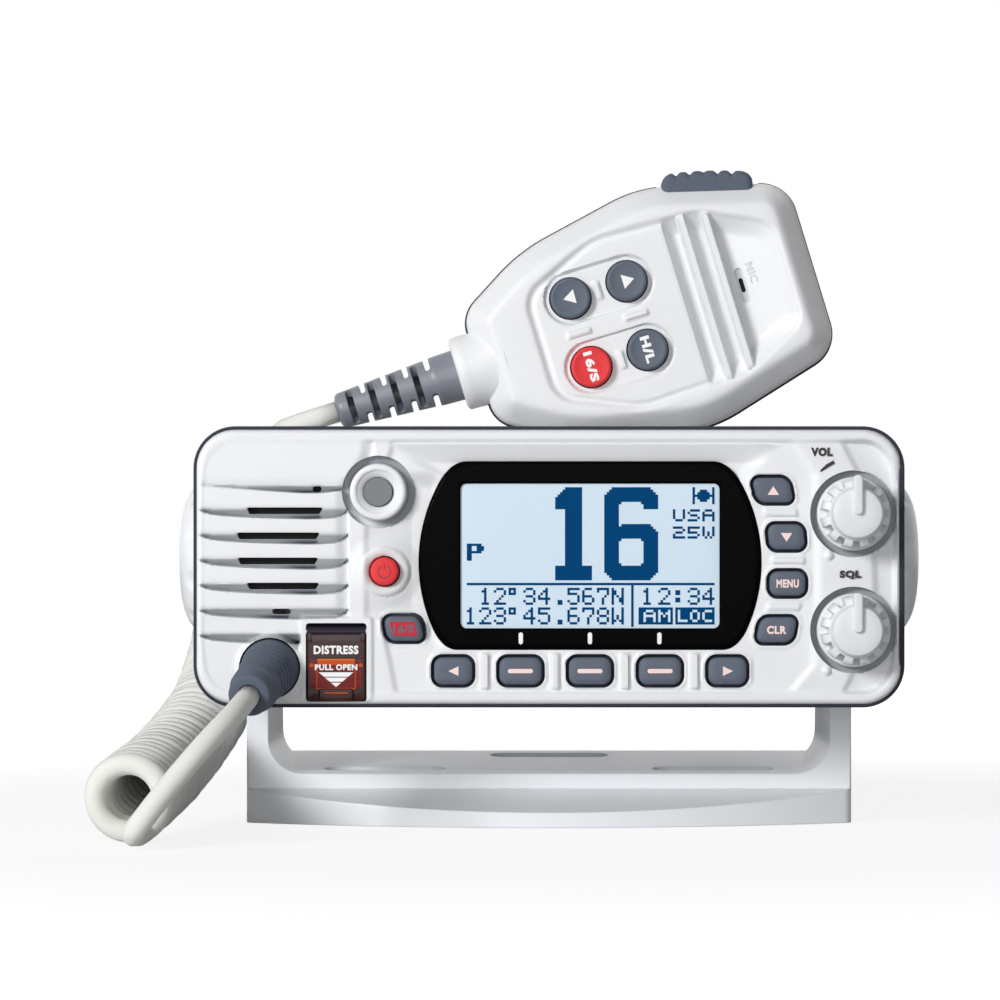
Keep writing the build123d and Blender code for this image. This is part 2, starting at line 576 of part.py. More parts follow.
def sensor_window():
    return disc(SENSOR_POS, SENSOR_R, FRONT_Y - SENSOR_PROUD + 0.9, FACE_BACK_Y)


def control_knob(name):
    """Fluted rotary knob with a raised pointer bar."""
    y_base = FRONT_Y + KNOB_WELL_DEPTH - KNOB_BASE_GAP
    n = KNOB_LEN
    profile = Polyline((0, 0), (KNOB_SKIRT_R, 0), (KNOB_SKIRT_R, 2.0), (KNOB_SKIRT_R - 1.0, 2.6),
                       (KNOB_TOP_R + 0.35, n - 0.8), (KNOB_TOP_R - 0.5, n), (0, n), (0, 0))
    knob = revolve(Plane.XZ * make_face(profile), Axis.Z)
    tooth = Plane.XZ * Polygon((4.0, 1.0), (KNOB_SKIRT_R, 1.0), (KNOB_SKIRT_R, 5.0),
                               (KNOB_SKIRT_R - 1.3, 9.6), (4.0, 9.6), align=None)
    for i in range(KNOB_TEETH):
        knob += Rot(0, 0, 360 * i / KNOB_TEETH) * extrude(tooth, amount=0.9, both=True)
    bar = Pos(0, 3.6, n - 2.0) * Box(1.9, 8.6, 5.6)
    knob += bar
    knob -= Pos(0, 0, 3.9) * Cylinder(SHAFT_R, 7.8)
    place = face_plane(y_base) * Pos(KNOB_X, KNOB_DZ[name], 0)
    return place * knob


def control_shaft(name):
    """The encoder's shaft, which turns with the knob."""
    y_base = FRONT_Y + KNOB_WELL_DEPTH - KNOB_BASE_GAP
    return disc((KNOB_X, KNOB_DZ[name]), SHAFT_R - 0.02, y_base - 7.8, BOARD_Y - 1.5)


def encoders():
    """The two rotary encoders' fixed bodies with their bushes."""
    group = []
    for dz in KNOB_DZ.values():
        body = front_block(Pos(KNOB_X, dz) * Rectangle(ENCODER_W, ENCODER_W), FACE_BACK_Y + FLANGE_GAP, BOARD_Y)
        body += disc((KNOB_X, dz), SHAFT_BUSH_R, FRONT_Y + KNOB_WELL_DEPTH - 0.3, FACE_BACK_Y + 1)
        body -= disc((KNOB_X, dz), SHAFT_R + 0.05, FRONT_Y, BOARD_Y - 1.5)
        group.append(body)
    return Compound(children=group)


def speaker():
    """Loudspeaker: basket, magnet and a shallow cone."""
    y = FACE_BACK_Y + MESH_T
    body = disc(SPEAKER_POS, SPEAKER_R, y, y + 2.5)
    cup = disc(SPEAKER_POS, SPEAKER_R * 0.8, y + 2.5, y + 7)
    magnet = disc(SPEAKER_POS, SPEAKER_R * 0.55, y + 7, y + SPEAKER_DEPTH)
    dish = Pos(SPEAKER_POS[0], y, PANEL_Z + SPEAKER_POS[1]) * Rot(-90, 0, 0) * Pos(0, 0, 1.4) * Cone(
        SPEAKER_R - 2.0, 3.0, 2.8)
    return body + cup + magnet - dish


def speaker_mesh():
    """Fine dark cloth behind the grille slots."""
    x, z = SPEAKER_POS
    return front_block(Pos(x, z + 0.4) * RectangleRounded(CLOTH_W, CLOTH_H, POST_R), FACE_BACK_Y, FACE_BACK_Y + MESH_T)


def distress_cover():
    """Hinged see-through lid over the distress switch."""
    w = DISTRESS_W - 2 * COVER_GAP
    bottom = DISTRESS_DZ - DISTRESS_H / 2 + COVER_GAP
    top = PIN_Z - PANEL_Z + LID_OVER_PIN
    y_front = FRONT_Y - LID_PROUD
    lid = front_block(Pos(DISTRESS_X, (bottom + top) / 2) * RectangleRounded(w, top - bottom, 0.6), y_front,
                      y_front + COVER_T)
    lid = fillet(lid.faces().sort_by(Axis.Y)[0].edges(), 0.3)
    lid += front_block(Pos(DISTRESS_X, bottom + 2.2) * Rectangle(w * 0.55, 1.3), y_front - 0.7, y_front + 1)
    barrel = Pos(DISTRESS_X, PIN_Y, PIN_Z) * Rot(0, 90, 0)
    lid += barrel * Cylinder(BARREL_R, w)
    return lid - barrel * Cylinder(PIN_R + PIN_CLEARANCE, w + 2)


def distress_pin():
    return Pos(DISTRESS_X, PIN_Y, PIN_Z) * Rot(0, 90, 0) * Cylinder(PIN_R, DISTRESS_W + 1.2)


def distress_button():
    """The button under the lid."""
    y = FRONT_Y + 2.6
    centre = (DISTRESS_X, DISTRESS_DZ - 1)
    cap = disc(centre, DISTRESS_BUTTON_R, y, FRONT_Y + TUB_DEPTH + 1.9)
    cap = fillet(cap.faces().sort_by(Axis.Y)[0].edges(), 0.6)
    return cap + disc(centre, DISTRESS_BUTTON_R + 0.9, FRONT_Y + TUB_DEPTH + 1.9, FRONT_Y + TUB_DEPTH + 2.7)


def distress_switch():
    """Sealed switch on a bracket board behind the distress button."""
    y = FRONT_Y + TUB_DEPTH + 2.9 + DISTRESS_TRAVEL
    board = Pos(DISTRESS_X, DISTRESS_DZ) * Rectangle(DISTRESS_W + 1, DISTRESS_H - 3)
    switch = front_block(board, y, PANEL_BACK_Y)
    return switch


def front_boot():
    """Ringed strain relief in the face where the curly cord leaves the radio, leaning to the left."""
    x, dz = BOOT_POS
    start = Vector(x, FRONT_Y, PANEL_Z + dz)
    axis = Vector(*BOOT_END) - start
    length = axis.length
    leaning = Plane(origin=start, z_dir=axis.normalized())
    shoulder = BOOT_SHOULDER * length
    root = loft([face_plane(FRONT_Y) * Pos(*BOOT_POS) * Circle(BOOT_R),
                 leaning * Pos(0, 0, shoulder) * Circle(BOOT_R - BOOT_TAPER)])
    profile = Polyline((0, shoulder), (BOOT_R - BOOT_TAPER, shoulder), (BOOT_END_R + 0.5, length * 0.62),
                       (BOOT_END_R + 0.2, length * 0.66), (BOOT_END_R + 0.2, length * 0.74),
                       (BOOT_END_R, length), (0, length), (0, shoulder))
    boot = root + leaning * revolve(Plane.XZ * make_face(profile), Axis.Z)
    for i in range(BOOT_RINGS):
        z = length * (0.24 + 0.38 * i / (BOOT_RINGS - 1))
        r_here = BOOT_R + (BOOT_END_R + 0.5 - BOOT_R) * z / (length * 0.62)
        ring = Cylinder(BOOT_R + 2, BOOT_RING_W) - Cylinder(r_here - 0.9, BOOT_RING_W)
        boot -= leaning * Pos(0, 0, z) * (ring - Box(2.4, 40, 2))
    return boot + disc(BOOT_POS, BOOT_R, FRONT_Y, FACE_BACK_Y + 1.0)


# ---------------------------------------------------------------- case
def case_body():
    """White case: a front flange, a rectangular sleeve and the two tilt bosses."""
    height = CASE_TOP_Z - CASE_BOTTOM_Z
    mid_z = (CASE_TOP_Z + CASE_BOTTOM_Z) / 2 - PANEL_Z
    outer = Pos(0, mid_z) * RectangleRounded(2 * CASE_HALF_W, height, CASE_R)
    inner = Pos(0, mid_z) * RectangleRounded(2 * (CASE_HALF_W - CASE_WALL), height - 2 * CASE_WALL,
                                             CASE_R - CASE_WALL)
    flange_top = CASE_TOP_Z - PANEL_Z
    flange_bottom = -PANEL_H / 2 + FLANGE_INSET
    flange = Pos(0, (flange_top + flange_bottom) / 2) * RectangleRounded(
        PANEL_W - 2 * FLANGE_INSET, flange_top - flange_bottom, PANEL_R - FLANGE_INSET)
    body = front_block(flange, FLANGE_FRONT_Y, CASE_FRONT_Y) + front_block(outer, CASE_FRONT_Y, CASE_REAR_Y)
    for sign in (-1, 1):
        reach = LEG_INNER - WASHER_T - CASE_HALF_W
        boss = Pos(sign * (CASE_HALF_W + reach / 2), 0, TILT_Z) * Rot(0, 90, 0) * Cylinder(BOSS_R, reach)
        body += boss
    body -= front_block(inner, FLANGE_FRONT_Y - 1, CASE_REAR_Y + 1)
    for sign in (-1, 1):
        inner_boss = STUD_DEPTH + WASHER_T + 2
        pad = Pos(sign * (CASE_HALF_W - inner_boss / 2), 0, TILT_Z) * Rot(0, 90, 0) * Cylinder(PAD_R, inner_boss)
        body += pad
        bore = Pos(sign * (LEG_INNER - WASHER_T - STUD_DEPTH / 2), 0, TILT_Z) * Rot(0, 90, 0)
        body -= bore * Cylinder(STUD_R + STUD_CLEARANCE, STUD_DEPTH + 1)
        rail = Pos(sign * (CASE_HALF_W - CASE_WALL - RAIL_W / 2 + 0.1), MAIN_BOARD_Y, MAIN_BOARD_Z - RAIL_H / 2)
        body += rail * Box(RAIL_W, MAIN_BOARD_D, RAIL_H)
    return body


def heatsink():
    """Die-cast rear cover with upright cooling fins."""
    height = CASE_TOP_Z - CASE_BOTTOM_Z - 2 * SINK_INSET
    mid_z = (CASE_TOP_Z + CASE_BOTTOM_Z) / 2
    width = 2 * (CASE_HALF_W - SINK_INSET)
    rear = CASE_REAR_Y
    body = Pos(0, rear + SINK_BASE_T / 2, mid_z) * Box(width, SINK_BASE_T, height)
    body = fillet(body.edges().filter_by(Axis.Y), 2.5)
    for i in range(FIN_COUNT):
        x = (i - (FIN_COUNT - 1) / 2) * FIN_PITCH
        fin = Pos(x, rear + SINK_BASE_T + FIN_LEN / 2, mid_z) * Box(FIN_T, FIN_LEN, height - 3)
        body += fin
    for x, z in [SOCKET_POS] + list(GLANDS.values()):
        y = rear + SINK_BASE_T + FIN_LEN / 2
        body += Pos(x, y, z) * Rot(90, 0, 0) * Cylinder(SOCKET_BOSS_R, FIN_LEN)
        hole_r = SOCKET_SEAT_R if (x, z) == SOCKET_POS else GLAND_R
        body -= Pos(x, y, z) * Rot(90, 0, 0) * Cylinder(hole_r + 0.05, FIN_LEN + 3 * SINK_BASE_T)
    return body


def antenna_socket():
    """Plug barrel with a centre contact, seated in the heatsink."""
    x, z = SOCKET_POS
    seat_y = CASE_REAR_Y + SINK_BASE_T
    barrel_y = seat_y + FIN_LEN
    place = Plane(origin=(x, seat_y - 2, z), z_dir=(0, 1, 0))
    body = place * extrude(Circle(SOCKET_SEAT_R), amount=FIN_LEN + 2)
    barrel = Plane(origin=(x, barrel_y, z), z_dir=(0, 1, 0))
    ring = Circle(SOCKET_R) - Circle(SOCKET_CUP_R)
    body += extrude(barrel * ring, amount=SOCKET_LEN)
    body += extrude(barrel * Circle(SOCKET_SEAT_R), amount=1.5)
    body += extrude(barrel * Circle(SOCKET_CONTACT_R), amount=SOCKET_LEN)
    return body - extrude(barrel * Pos(0, 0, 2) * Circle(SOCKET_BORE_R), amount=SOCKET_LEN)


def gland(name):
    """Rubber cable gland with a bore for a lead."""
    x, z = GLANDS[name]
    y0 = CASE_REAR_Y + SINK_BASE_T
    body = Pos(x, y0 + GLAND_LEN / 2 - 3, z) * Rot(90, 0, 0) * Cylinder(GLAND_R, GLAND_LEN)
    body += Pos(x, y0 + FIN_LEN + 1.5, z) * Rot(90, 0, 0) * Cylinder(GLAND_R + 1.5, 3.0)
    return body - Pos(x, y0 + GLAND_LEN / 2, z) * Rot(90, 0, 0) * Cylinder(GLAND_BORE_R, GLAND_LEN + 10)


def main_board():
    """Main circuit board on the side rails, with its larger parts."""
    width = 2 * (CASE_HALF_W - CASE_WALL) - 0.6
    board = Pos(0, MAIN_BOARD_Y, MAIN_BOARD_Z + BOARD_T / 2) * Box(width, MAIN_BOARD_D, BOARD_T)
    top = MAIN_BOARD_Z + BOARD_T
    for x, y, w, d, h in BOARD_PARTS:
        board += Pos(x, y, top + h / 2) * Box(w, d, h)
    return board


def rf_module():
    """Screened transmitter module, bolted against the heatsink."""
    top = MAIN_BOARD_Z + BOARD_T
    width, depth, height = RF_SIZE
    return Pos(RF_X, CASE_REAR_Y - depth / 2, top + height / 2) * Box(width, depth, height)


def case_screws():
    """Four pan-head screws that hold the rear cover."""
    group = []
    half_h = (CASE_TOP_Z - CASE_BOTTOM_Z) / 2 - SCREW_INSET
    mid_z = (CASE_TOP_Z + CASE_BOTTOM_Z) / 2
    head_y = CASE_REAR_Y + SINK_BASE_T
    for x in (-CASE_HALF_W + SCREW_INSET, CASE_HALF_W - SCREW_INSET):
        for dz in (-half_h, half_h):
            slot = Pos(0, 0, SCREW_HEAD_T / 2) * Box(0.3 * SCREW_HEAD_R, 1.3 * SCREW_HEAD_R, 0.6 * SCREW_HEAD_T)
            screw = Cylinder(SCREW_HEAD_R, SCREW_HEAD_T) - slot
            group.append(Pos(x, head_y + SCREW_HEAD_T / 2, mid_z + dz) * Rot(-90, 0, 0) * screw)
    return Compound(children=group)


# ---------------------------------------------------------------- fist microphone
def mic_plane():
    """The microphone's joint plane: x along its length, y across it, z out of its face."""
    along = (cos(radians(MIC_TILT)), 0, sin(radians(MIC_TILT)))
    return Plane(origin=MIC_CENTRE, x_dir=along, z_dir=(0, -1, 0))


def mic_outline(grow=0.0):
    shape = rounded_polygon(mirrored(MIC_OUTLINE))
    return offset(shape, grow) if grow else shape


def mic_collar():
    """Domed collar at the cord end, split between both shells."""
    length = COLLAR_START_U - COLLAR_END_U
    profile = Polyline((0, 0), (COLLAR_R - 0.8, 0), (COLLAR_R, 0.8), (COLLAR_R + 0.6, length), (0, length), (0, 0))
    solid = revolve(Plane.XZ * make_face(profile), Axis.Z)
    place = Pos(COLLAR_END_U, 0, 0) * Rot(0, 90, 0)
    bore = Pos(COLLAR_END_U, 0, 0) * Rot(0, 90, 0) * Pos(0, 0, length / 2) * Cylinder(
        MIC_BOOT_END_R + 0.45, length * 1.4)
    return place * solid, bore


def ptt_place():
    """Frame on the sloping upper edge: x along the edge, y out of it, z out of the face."""
    return Pos(PTT_U, PTT_EDGE_V, 0) * Rot(0, 0, PTT_SLOPE)


def ptt_opening():
    return ptt_place() * Pos(0, -2.0, 0) * Box(PTT_L + 2 * PTT_GAP, 12.0, PTT_W + 2 * PTT_GAP)


def mic_front():
    """Front shell with the key plate, grille ribs and sound hole."""
    shell = extrude(mic_outline(), amount=MIC_FRONT)
    shell = fillet(shell.faces().sort_by(Axis.Z)[-1].edges(), MIC_FACE_FILLET)
    collar, bore = mic_collar()
    shell += collar & Pos(0, 0, 15) * Box(200, 200, 30)
    cavity = extrude(mic_outline(-MIC_WALL), amount=MIC_FRONT - MIC_WALL - MIC_RECESS)
    shell -= fillet(cavity.faces().sort_by(Axis.Z)[-1].edges(), 3.0)
    shell -= bore
    recess = rounded_polygon(mirrored(RECESS_OUTLINE))
    plate = Rectangle(80, 80, align=(Align.MAX, Align.CENTER))
    top = MIC_FRONT
    shell -= Pos(0, 0, top - MIC_RECESS) * extrude(recess, amount=MIC_RECESS + 1)
    raised = recess & Pos(RIBS_U[0] - 4.5, 0) * plate
    shell += Pos(0, 0, top - MIC_RECESS) * extrude(offset(raised, -0.8), amount=MIC_RECESS * 0.6)
    for u in RIBS_U:
        shell += Pos(u, 0, top - MIC_RECESS) * extrude(SlotOverall(2 * RIB_HALF_L, RIB_W, rotation=90),
                                                      amount=MIC_RECESS * 1.1)
    shell += Pos(MIC_SLOT_U, 0, top - MIC_RECESS) * extrude(SlotOverall(9.6, 3.4, rotation=90), amount=0.5)
    shell -= Pos(MIC_SLOT_U, 0, top) * extrude(SlotOverall(3.0, 1.0, rotation=90), amount=-6)
    for _, u, v in MIC_KEYS:
        shell -= Pos(u, v, 0) * Cylinder(MIC_KEY_R + MIC_KEY_GAP, 40)
    shell -= ptt_opening()
    for u, v in MIC_SCREWS:
        shell += Pos(u, v, 0) * extrude(Circle(MIC_POST_R), amount=MIC_FRONT - MIC_WALL - MIC_RECESS) - Pos(
            u, v, 0) * extrude(Circle(1.1), amount=5)
    return mic_plane() * shell


def mic_gasket():
    """Dark seal round the joint line."""
    ring = mic_outline(0.12) - mic_outline(-MIC_WALL)
    solid = Pos(0, 0, -MIC_GASKET_T) * extrude(ring, amount=MIC_GASKET_T)
    _, bore = mic_collar()
    return mic_plane() * (solid - bore - ptt_opening() - mic_collar_block())


def mic_collar_block():
    collar, _ = mic_collar()
    return collar


def mic_back():
    """Rear shell, rounded, with a boss for the hanger stud."""
    depth = MIC_REAR - MIC_GASKET_T
    base = Pos(0, 0, -MIC_GASKET_T)
    shell = base * extrude(mic_outline(), amount=-depth)
    shell = fillet(shell.faces().sort_by(Axis.Z)[0].edges(), 6.0)
    collar, bore = mic_collar()
    shell += collar & Pos(0, 0, -15) * Box(200, 200, 30)
    cavity = base * extrude(mic_outline(-MIC_WALL), amount=-(depth - MIC_WALL))
    shell -= fillet(cavity.faces().sort_by(Axis.Z)[0].edges(), 4.0)
    shell -= bore
    shell -= ptt_opening()
    for u, v in MIC_SCREWS:
        shell += base * Pos(u, v, 0) * (extrude(Circle(3.0), amount=-depth))
        shell -= Pos(u, v, 0) * Cylinder(1.5, 2 * MIC_REAR + 2)
        shell -= Pos(u, v, -MIC_REAR) * Cylinder(2.6, 6.0)
    shell -= Pos(4, 0, -MIC_REAR) * Cylinder(2.0, 8)
    return mic_plane() * shell


def mic_screws():
    group = []
    for u, v in MIC_SCREWS:
        head = Pos(u, v, -MIC_REAR + 2.1) * Cylinder(MIC_HEAD_R, 1.6) - Pos(u, v, -MIC_REAR + 1.4) * Box(
            0.6, 1.3 * MIC_HEAD_R, 1.0)
        shank = Pos(u, v, -MIC_REAR + 1.5 + MIC_SHANK_L / 2) * Cylinder(MIC_SHANK_R, MIC_SHANK_L)
        group.append(mic_plane() * (head + shank))
    return Compound(children=group)


def hanger_stud():
    """Mushroom stud on the back that hooks into a hanger clip."""
    profile = Polyline((0, -4), (1.95, -4), (1.95, 0), (HANGER_R - 2, 0), (HANGER_R - 2, 2.6), (HANGER_R, 2.8),
                       (HANGER_R, 4.4), (HANGER_R - 0.8, 5.2), (0, 5.2), (0, -4))
    solid = revolve(Plane.XZ * make_face(profile), Axis.Z)
    return mic_plane() * Pos(4, 0, -MIC_REAR) * Rot(180, 0, 0) * solid


def mic_key(u, v):
    """Round key through the front shell, seated on the board's dome."""
    cap = Pos(u, v, 1.0) * extrude(Circle(MIC_KEY_R), amount=MIC_FRONT - MIC_RECESS * 0.4 + MIC_KEY_PROUD - 1.0)
    cap = fillet(cap.faces().sort_by(Axis.Z)[-1].edges(), 1.0)
    cap += Pos(u, v, 2.0) * extrude(Circle(MIC_KEY_R + 0.9), amount=1.0)
    return mic_plane() * cap


def mic_board():
    """Microphone circuit board on the joint line."""
    board = Pos(-2, 0, -1.4) * extrude(
        RectangleRounded(MIC_BOARD_W, MIC_BOARD_H, MIC_POST_R), amount=MIC_BOARD_T)
    for u, v in MIC_SCREWS:
        board -= Pos(u, v, 0) * Cylinder(3.4, 10)
    return mic_plane() * board


def mic_capsule():
    """Electret capsule behind the sound hole."""
    top = MIC_FRONT - MIC_WALL - MIC_RECESS - 0.1
    return mic_plane() * Pos(MIC_SLOT_U, 0, 0.2) * extrude(Circle(4.8), amount=top - 0.2)


def ptt_button():
    """Ribbed push-to-talk bar on the upper edge."""
    depth = 4.2
    body = Pos(0, (PTT_PROUD - depth) / 2, 0) * Box(PTT_L, PTT_PROUD + depth, PTT_W)
    body = fillet(body.edges().filter_by(Axis.Z).group_by(Axis.Y)[-1], 2.6)
    body = fillet(body.faces().sort_by(Axis.Z)[-1].edges().group_by(Axis.Y)[-1], 0.8)
    pitch = (PTT_L - 5.0) / PTT_RIBS
    for i in range(PTT_RIBS + 1):
        x = -PTT_L / 2 + 2.5 + i * pitch
        body -= Pos(x, PTT_PROUD + 0.5, 0) * Cylinder(1.0, PTT_W + 2)
    return mic_plane() * ptt_place() * body


def mic_boot():
    """Slotted strain relief on the microphone's cord end."""
    length = MIC_BOOT_L
    profile = Polyline((0, -5), (MIC_BOOT_END_R + 0.4, -5), (MIC_BOOT_END_R + 0.4, 0), (MIC_BOOT_R, 0),
                       (MIC_BOOT_R, 6.0), (MIC_BOOT_END_R, length), (0, length), (0, -5))
    boot = revolve(Plane.XZ * make_face(profile), Axis.Z)
    for i in range(MIC_BOOT_ROWS):
        z = 8.0 + i * 3.9
        cut = Cylinder(MIC_BOOT_R + 2, 1.3) - Cylinder(CORD_D / 2 + 0.5, 1.3)
        for turn in (0, 180):
            half = Rot(0, 0, 90 * (i % 2) + turn) * Pos(10, 0, 0) * Box(20, 9.0, 4)
            boot -= Pos(0, 0, z) * (cut & half)
    return mic_plane() * Pos(COLLAR_END_U, 0, 0) * Rot(0, -90, 0) * boot


# ---------------------------------------------------------------- cord
def beyond_mic_boot(distance):
    """The point on the microphone boot's axis at this distance past its end face."""
    return mic_plane().from_local_coords((COLLAR_END_U - MIC_BOOT_L - distance, 0, 0))


def rounded_route(points, label):
    """Straight runs joined by tangent arcs, each as large as its two runs allow."""
    vectors = [Vector(*p) for p in points]
    radii = []
    for before, here, after in zip(vectors, vectors[1:], vectors[2:]):
        first = here - before
        second = after - here
        turn = radians(first.get_angle(second))
        radii.append(0.45 * min(first.length, second.length) / tan(turn / 2))
    print(label, "radii", [round(r, 1) for r in radii])
    return FilletPolyline(*vectors, radius=radii)


def tube(points, diameter, label):
    """A plain round tube along the route, its volume compared with section times length."""
    path = rounded_route(points, label)
    start = Plane(origin=path @ 0, z_dir=path % 0)
    solid = sweep(start * Circle(diameter / 2), path=path)
    expected = pi * diameter ** 2 / 4 * path.length
    print(label, "length", round(path.length, 1), "volume ratio", round(solid.volume / expected, 4))
    return solid


def main():
    """Build every sub-part and write it to parts/."""
    os.makedirs("parts", exist_ok=True)
    save("bracket", bracket())
    save("left_clamp_knob", clamp_knob(-1))
    save("right_clamp_knob", clamp_knob(1))
    save("left_washer", washer(-1))
    save("right_washer", washer(1))
    save("front_panel", front_panel())
    save("panel_gasket", panel_gasket())
    save("display_lens", display_lens())
    save("display_module", display_module())
    save("front_board", front_board())
    save("key_mat", key_mat())
    for name, x, z, w, h, lean in KEYS:
        save(name, key(x, z, w, h, lean))
    save("power_key", power_key())
    save("sensor_window", sensor_window())
    for name in KNOB_DZ:
        save(name + "_knob", control_knob(name))
        save(name + "_shaft", control_shaft(name))
    save("rotary_encoders", encoders())
    save("speaker", speaker())
    save("speaker_mesh", speaker_mesh())
    save("distress_cover", distress_cover())
    save("distress_hinge_pin", distress_pin())
    save("distress_button", distress_button())
    save("distress_switch", distress_switch())
    save("front_cord_boot", front_boot())
    save("case_body", case_body())
    save("heatsink", heatsink())
    save("antenna_socket", antenna_socket())
    for name in GLANDS:
        save(name, gland(name))
    save("main_board", main_board())
    save("rf_module", rf_module())
    save("case_screws", case_screws())
    save("mic_front_shell", mic_front())
    save("mic_gasket", mic_gasket())
    save("mic_back_shell", mic_back())
    save("mic_screws", mic_screws())
    save("mic_hanger_stud", hanger_stud())
    for name, u, v in MIC_KEYS:
        save(name, mic_key(u, v))
    save("mic_board", mic_board())
    save("mic_capsule", mic_capsule())
    save("push_to_talk_key", ptt_button())
    save("mic_cord_boot", mic_boot())
    save("cord_lead", tube(LEAD_POINTS, CORD_D, "cord_lead"))
    save("cord_coil", tube(COIL_POINTS, COIL_D, "cord_coil"))
    last = [tuple(beyond_mic_boot(distance)) for distance in (TAIL_LAST_RUN, 0)]
    save("cord_tail", tube(TAIL_POINTS + last, CORD_D, "cord_tail"))


main()
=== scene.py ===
"""Looks for a fixed-mount VHF marine radio with its fist microphone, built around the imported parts.

Sizes are in millimetres until a mesh is made. Panel places are (x, z) from the middle of the control
panel and heights stand out of its face. Microphone places are (u, v) along and across its body.
"""
from __future__ import annotations

import json
import logging
import math
from dataclasses import dataclass, field
from enum import Enum
from functools import cache, partial
from typing import Callable, Iterable, Sequence

import bmesh
import bpy
import numpy as np
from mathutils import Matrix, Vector

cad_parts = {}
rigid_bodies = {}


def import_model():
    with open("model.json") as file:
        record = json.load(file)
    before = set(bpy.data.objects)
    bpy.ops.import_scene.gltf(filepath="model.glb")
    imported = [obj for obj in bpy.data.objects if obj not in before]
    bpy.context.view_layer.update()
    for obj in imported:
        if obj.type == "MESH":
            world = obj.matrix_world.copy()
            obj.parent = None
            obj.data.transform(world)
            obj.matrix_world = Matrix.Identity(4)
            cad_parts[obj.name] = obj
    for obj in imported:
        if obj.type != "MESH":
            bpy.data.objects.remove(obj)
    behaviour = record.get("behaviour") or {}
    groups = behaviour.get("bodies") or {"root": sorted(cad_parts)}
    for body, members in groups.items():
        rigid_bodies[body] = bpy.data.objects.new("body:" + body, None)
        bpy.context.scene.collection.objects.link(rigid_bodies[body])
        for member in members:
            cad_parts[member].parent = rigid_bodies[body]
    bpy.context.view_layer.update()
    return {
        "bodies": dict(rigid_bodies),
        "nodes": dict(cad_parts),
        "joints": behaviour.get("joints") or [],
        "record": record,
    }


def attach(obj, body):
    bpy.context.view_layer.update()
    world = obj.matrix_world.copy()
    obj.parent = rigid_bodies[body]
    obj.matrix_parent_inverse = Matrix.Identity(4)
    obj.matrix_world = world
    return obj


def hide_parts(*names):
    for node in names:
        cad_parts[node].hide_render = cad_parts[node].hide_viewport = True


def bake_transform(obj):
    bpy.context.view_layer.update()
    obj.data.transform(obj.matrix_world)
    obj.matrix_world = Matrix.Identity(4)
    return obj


LOG = logging.getLogger("marine_radio")
MM = 0.001
PAINTED_SHADE = "painted_shade"
POLE_RADIUS = 1e-6
SMOOTH_ANGLE = 38.0
WEB_SIDES = 48
ROUND_SIDES = 72

Array = np.ndarray
Field2D = Callable[[Array, Array], Array]
Point2 = tuple[float, float]
Point3 = tuple[float, float, float]
Colour = tuple[float, float, float]
Shape = tuple[Array, list[tuple[int, ...]]]
KeyPlace = tuple[str, float, float, float, float, float]


# ---------------------------------------------------------------- flat outlines as distance fields
def ramp(value: Array, low: float, high: float) -> Array:
    """Smooth step from 0 at low to 1 at high."""
    t = np.clip((value - low) / (high - low), 0.0, 1.0)
    return t * t * (3.0 - 2.0 * t)


def circle(cx: float, cz: float, radius: float) -> Field2D:
    """Signed distance to a circle, negative inside."""
    return lambda x, z: np.hypot(x - cx, z - cz) - radius


def rounded_box(cx: float, cz: float, width: float, height: float, radius: float,
                lean: float = 0.0) -> Field2D:
    """Signed distance to a rounded rectangle whose upper edge is shifted left by lean.

    Args:
        cx: Middle, across.
        cz: Middle, up.
        width: Full width.
        height: Full height.
        radius: Corner radius.
        lean: How far the upper edge stands to the left of the lower one.

    Returns:
        The distance field, negative inside.
    """
    def distance(x: Array, z: Array) -> Array:
        """Distance of places from the rounded rectangle."""
        up = z - cz
        across = x - cx + lean * up / height
        qx = np.abs(across) - width / 2 + radius
        qz = np.abs(up) - height / 2 + radius
        return np.hypot(np.maximum(qx, 0), np.maximum(qz, 0)) + np.minimum(np.maximum(qx, qz), 0) - radius
    return distance


def capsule(ax: float, az: float, bx: float, bz: float, radius: float) -> Field2D:
    """Signed distance to a pill shape round the line from a to b."""
    def distance(x: Array, z: Array) -> Array:
        """Distance of places from the pill."""
        dx, dz = bx - ax, bz - az
        t = np.clip(((x - ax) * dx + (z - az) * dz) / (dx * dx + dz * dz), 0, 1)
        return np.hypot(x - ax - t * dx, z - az - t * dz) - radius
    return distance


def polygon(points: Sequence[Point2]) -> Field2D:
    """Signed distance to a closed polygon, negative inside."""
    corners = np.array(points, float)

    def distance(x: Array, z: Array) -> Array:
        """Distance of places from the polygon."""
        best = np.full(x.shape, np.inf)
        inside = np.zeros(x.shape, bool)
        for (ax, az), (bx, bz) in zip(corners, np.roll(corners, -1, axis=0)):
            dx, dz = bx - ax, bz - az
            t = np.clip(((x - ax) * dx + (z - az) * dz) / max(dx * dx + dz * dz, 1e-12), 0, 1)
            best = np.minimum(best, (x - ax - t * dx) ** 2 + (z - az - t * dz) ** 2)
            crosses = (az > z) != (bz > z)
            with np.errstate(divide="ignore", invalid="ignore"):
                at = ax + (z - az) * dx / (dz if dz else 1e-12)
            inside ^= crosses & (x < at)
        return np.where(inside, -1.0, 1.0) * np.sqrt(best)
    return distance


def grown(field_: Field2D, amount: float) -> Field2D:
    """The same outline, larger by amount."""
    return lambda x, z: field_(x, z) - amount


